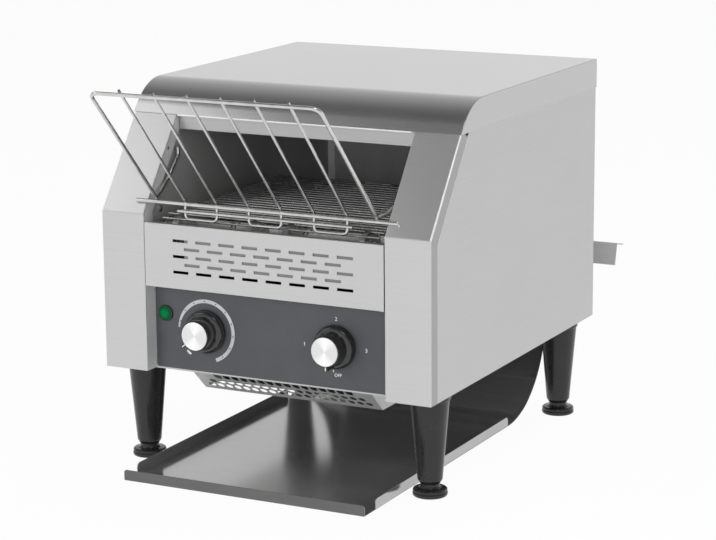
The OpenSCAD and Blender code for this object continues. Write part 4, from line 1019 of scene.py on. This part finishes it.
# %% The whole belt
rods, hooks = [], []
for i in range(2 * BELT_RUN + BELT_TEETH):
    along, above, angle = link_pose(i)
    centre_y, centre_z = AXLE_Y + along, AXLE_Z + above
    rods.append([Vector((x * MM, centre_y * MM, centre_z * MM)) for x in (-BELT_HALF, BELT_HALF)])
    for x in LOOP_COLUMNS:
        hooks.append([Vector((px * MM, (centre_y + v * math.cos(angle - dip)) * MM,
                              (centre_z + v * math.sin(angle - dip)) * MM)) for px, v in loop_path(x)])
belt_rods = wires("belt_cross_wires", rods, WIRE, 10, belt_steel, "cabinet")
belt_hooks = wires("belt_loops", hooks, LOOP_WIRE, 8, belt_steel, "cabinet")
for belt_piece in (belt_rods, belt_hooks):
    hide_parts("belt_straight_runs", "belt_end_turns")

# %% [markdown]
# ## Print on the control panel
# A pale band sweeps round the speed knob, with small dots along it, and the switch has
# plain numbers and OFF. Print is a thin film of ink, so each mark is a flat shape, less
# than a tenth of a millimetre thick, in front of the painted plate.

# %% Tool for print
INK = 0.08  # millimetres
FORWARD = Matrix.Rotation(math.pi / 2, 4, "X")  # stands a flat shape up to face forward
FASCIA_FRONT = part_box("control_fascia")[0].y  # metres
speed_x, knob_z = middle("speed_knob_disc").x / MM, middle("speed_knob_disc").z / MM


def printed(name, bm, ink, body="cabinet"):
    """Makes a piece of a flat bmesh, drawn in X and Z in millimetres, on the front of the fascia."""
    bmesh.ops.recalc_face_normals(bm, faces=bm.faces)
    outline = bmesh.ops.extrude_face_region(bm, geom=bm.faces[:])
    moved = [g for g in outline["geom"] if isinstance(g, bmesh.types.BMVert)]
    bmesh.ops.translate(bm, verts=moved, vec=(0, -INK, 0))
    bmesh.ops.recalc_face_normals(bm, faces=bm.faces)
    put(bm, (0, FASCIA_FRONT, 0))
    piece(name, mesh_from(name, bm), ink, body, smooth=False)


print("speed knob's axis at", round(speed_x, 1), round(knob_z, 1), "mm")

# %% Band round the speed knob
BAND_IN, BAND_OUT = 29.0, 32.7  # radii
BAND_FROM, BAND_TO = 178.0, -70.0  # degrees, counted from the right
TAPER_FROM, TAPER = 135, 0.07  # from here the inner edge drifts out by this share
bm = bmesh.new()
spoke = [bm.verts.new((r * math.cos(math.radians(BAND_FROM)), 0, r * math.sin(math.radians(BAND_FROM))))
         for r in (BAND_IN, BAND_OUT)]
edge = bm.edges.new(spoke)
bmesh.ops.spin(bm, geom=[edge, *spoke], cent=(0, 0, 0), axis=(0, 1, 0),
               angle=math.radians(BAND_FROM - BAND_TO), steps=80, use_merge=False)
for vert in bm.verts:
    degrees = math.degrees(math.atan2(vert.co.z, vert.co.x))
    taper = max(0.0, (degrees - TAPER_FROM) / (BAND_FROM - TAPER_FROM))
    if vert.co.length < (BAND_IN + BAND_OUT) / 2 and vert.co.z > 0 and taper:
        vert.co *= 1 + taper * TAPER
bmesh.ops.translate(bm, verts=bm.verts, vec=(speed_x, 0, knob_z))
printed("speed_band", bm, print_grey)

# %% Dots along the band
DOTS, DOT_R = 10, 0.7
DOT_FROM, DOT_STEP = 166, 24.4  # degrees
DOT_LIFT = INK + 0.02  # over the band's ink
dots_radius = (BAND_IN + BAND_OUT) / 2
bm = bmesh.new()
for i in range(DOTS):
    a = math.radians(DOT_FROM - i * DOT_STEP)
    dot = bmesh.ops.create_circle(bm, cap_ends=True, segments=12, radius=DOT_R, matrix=FORWARD)
    bmesh.ops.translate(bm, verts=dot["verts"], vec=(speed_x + dots_radius * math.cos(a), -DOT_LIFT,
                                                     knob_z + dots_radius * math.sin(a)))
printed("speed_dots", bm, moulded)

# %% Short marks
POINTER_R, POINTER_LENGTH, POINTER_WIDTH = 17.4, 4.0, 1.1


def dash(name, x, z, length, width, degrees, body="cabinet", front=FASCIA_FRONT):
    """A short straight mark with its middle at (x, z) and its back at a Y of the frame, in metres."""
    bm = bmesh.new()
    bmesh.ops.create_grid(bm, x_segments=1, y_segments=1, size=0.5, matrix=FORWARD)
    bmesh.ops.scale(bm, verts=bm.verts, vec=(length, 1, width))
    lean = Matrix.Rotation(-math.radians(degrees), 3, "Y")
    bmesh.ops.rotate(bm, verts=bm.verts, cent=(0, 0, 0), matrix=lean)
    bmesh.ops.translate(bm, verts=bm.verts, vec=(x, (front - FASCIA_FRONT) / MM, z))
    printed(name, bm, print_white, body)


dash("stop_mark", -94.2, 123.6, 5.6, 2.2, -38)
dash("off_tick", 70.6, 122.6, 0.9, 2.8, 0)
for place, pointer, body in ((speed_place, SPEED_POINTER, "speed_knob"),
                             (mode_place, MODE_POINTER, "mode_knob")):
    a = math.radians(pointer)
    dash(body + "_line", place.x / MM + POINTER_R * math.cos(a), place.z / MM + POINTER_R * math.sin(a),
         POINTER_LENGTH, POINTER_WIDTH, pointer, body, front=place.y - NOSE_Z * MM)

# %% Numbers and OFF
NUMBER_SIZE, WORD_SIZE = 5.4, 4.6
STROKE_SWELL = 0.04  # thickens the typeface's strokes


def label(name, text, x, z, size):
    """A word or number in the built-in typeface, centred on (x, z)."""
    font = bpy.data.curves.new(name, "FONT")
    font.body, font.size, font.align_x, font.align_y = text, size, "CENTER", "CENTER"
    font.offset = STROKE_SWELL
    bm = bmesh.new()
    bm.from_mesh(curve_mesh(name, font))
    bmesh.ops.rotate(bm, verts=bm.verts, cent=(0, 0, 0), matrix=FORWARD.to_3x3())
    bmesh.ops.translate(bm, verts=bm.verts, vec=(x, 0, z))
    printed(name, bm, print_white)


label("mode_1", "1", 38.6, 146.6, NUMBER_SIZE)
label("mode_2", "2", 74.0, 175.4, NUMBER_SIZE)
label("mode_3", "3", 107.0, 146.8, NUMBER_SIZE)
label("mode_off", "OFF", 75.6, 118.6, WORD_SIZE)

# %% [markdown]
# ## The solid pieces
# What needs no new shape keeps its solid mesh and only gets a finish. The solids that a
# new piece replaces get theirs too, so that either one looks right by itself.

# %% Finishes on the solid model
for material, names in {
    body_steel: ["left_side_panel", "right_side_panel", "left_front_post", "right_front_post", "rear_panel",
                 "perforated_panel", "control_panel", "lintel", "rear_spacer"],
    hood_steel: ["top_cover"],
    tray_steel: ["toast_tray"],
    wire_steel: ["bread_rack"],
    dull_steel: ["base_plate"],
    baffle_shade_steel: ["front_baffle"],
    vent_steel: ["vent_grille"],
    strip_highlight_steel: ["chamber_corner_strips"],
    oven_steel: ["chamber_left_wall", "chamber_right_wall", "chamber_roof"],
    rear_wall_steel: ["chamber_rear_wall"],
    shield_shade_steel: ["heat_shield"],
    belt_steel: ["belt_straight_runs", "belt_end_turns"],
    axle_steel: ["front_axle", "rear_axle", "front_sprockets", "rear_sprockets", "motor_shaft", "speed_shaft",
                 "mode_shaft", "cabinet_screws"],
    chain_steel: ["axle_chain_sprocket", "motor_chain_sprocket", "drive_chain"],
    bronze: ["axle_bushings"],
    ceramic: ["heater_end_caps", "terminal_block"],
    motor_metal: ["gear_motor", "speed_control"],
    fascia_paint: ["control_fascia"],
    moulded: ["cable_inlet", "fan_frame", "fan_rotor", "mode_switch", "lamp_bezel"],
    leg_nylon: [f"{end}_{hand}_{part}" for end in ("front", "rear") for hand in ("left", "right")
                for part in ("leg", "foot")],
    knob_black: ["speed_knob", "mode_knob"],
    speed_disc_sheen: ["speed_knob_disc"],
    mode_disc_sheen: ["mode_knob_disc"],
    quartz: ["upper_heater_tubes", "lower_heater_tubes"],
    lamp_green: ["lamp_lens"],
}.items():
    for name in names:
        nodes[name].data.materials.clear()
        nodes[name].data.materials.append(material)
bare = [name for name, node in nodes.items()
        if not node.data.materials or node.data.materials[0].name.startswith("Material")]
print("nodes without a finish:", bare)

# %% [markdown]
# ## View transform
# Colours are shown through the Standard view transform.

bpy.context.scene.view_settings.view_transform = "Standard"
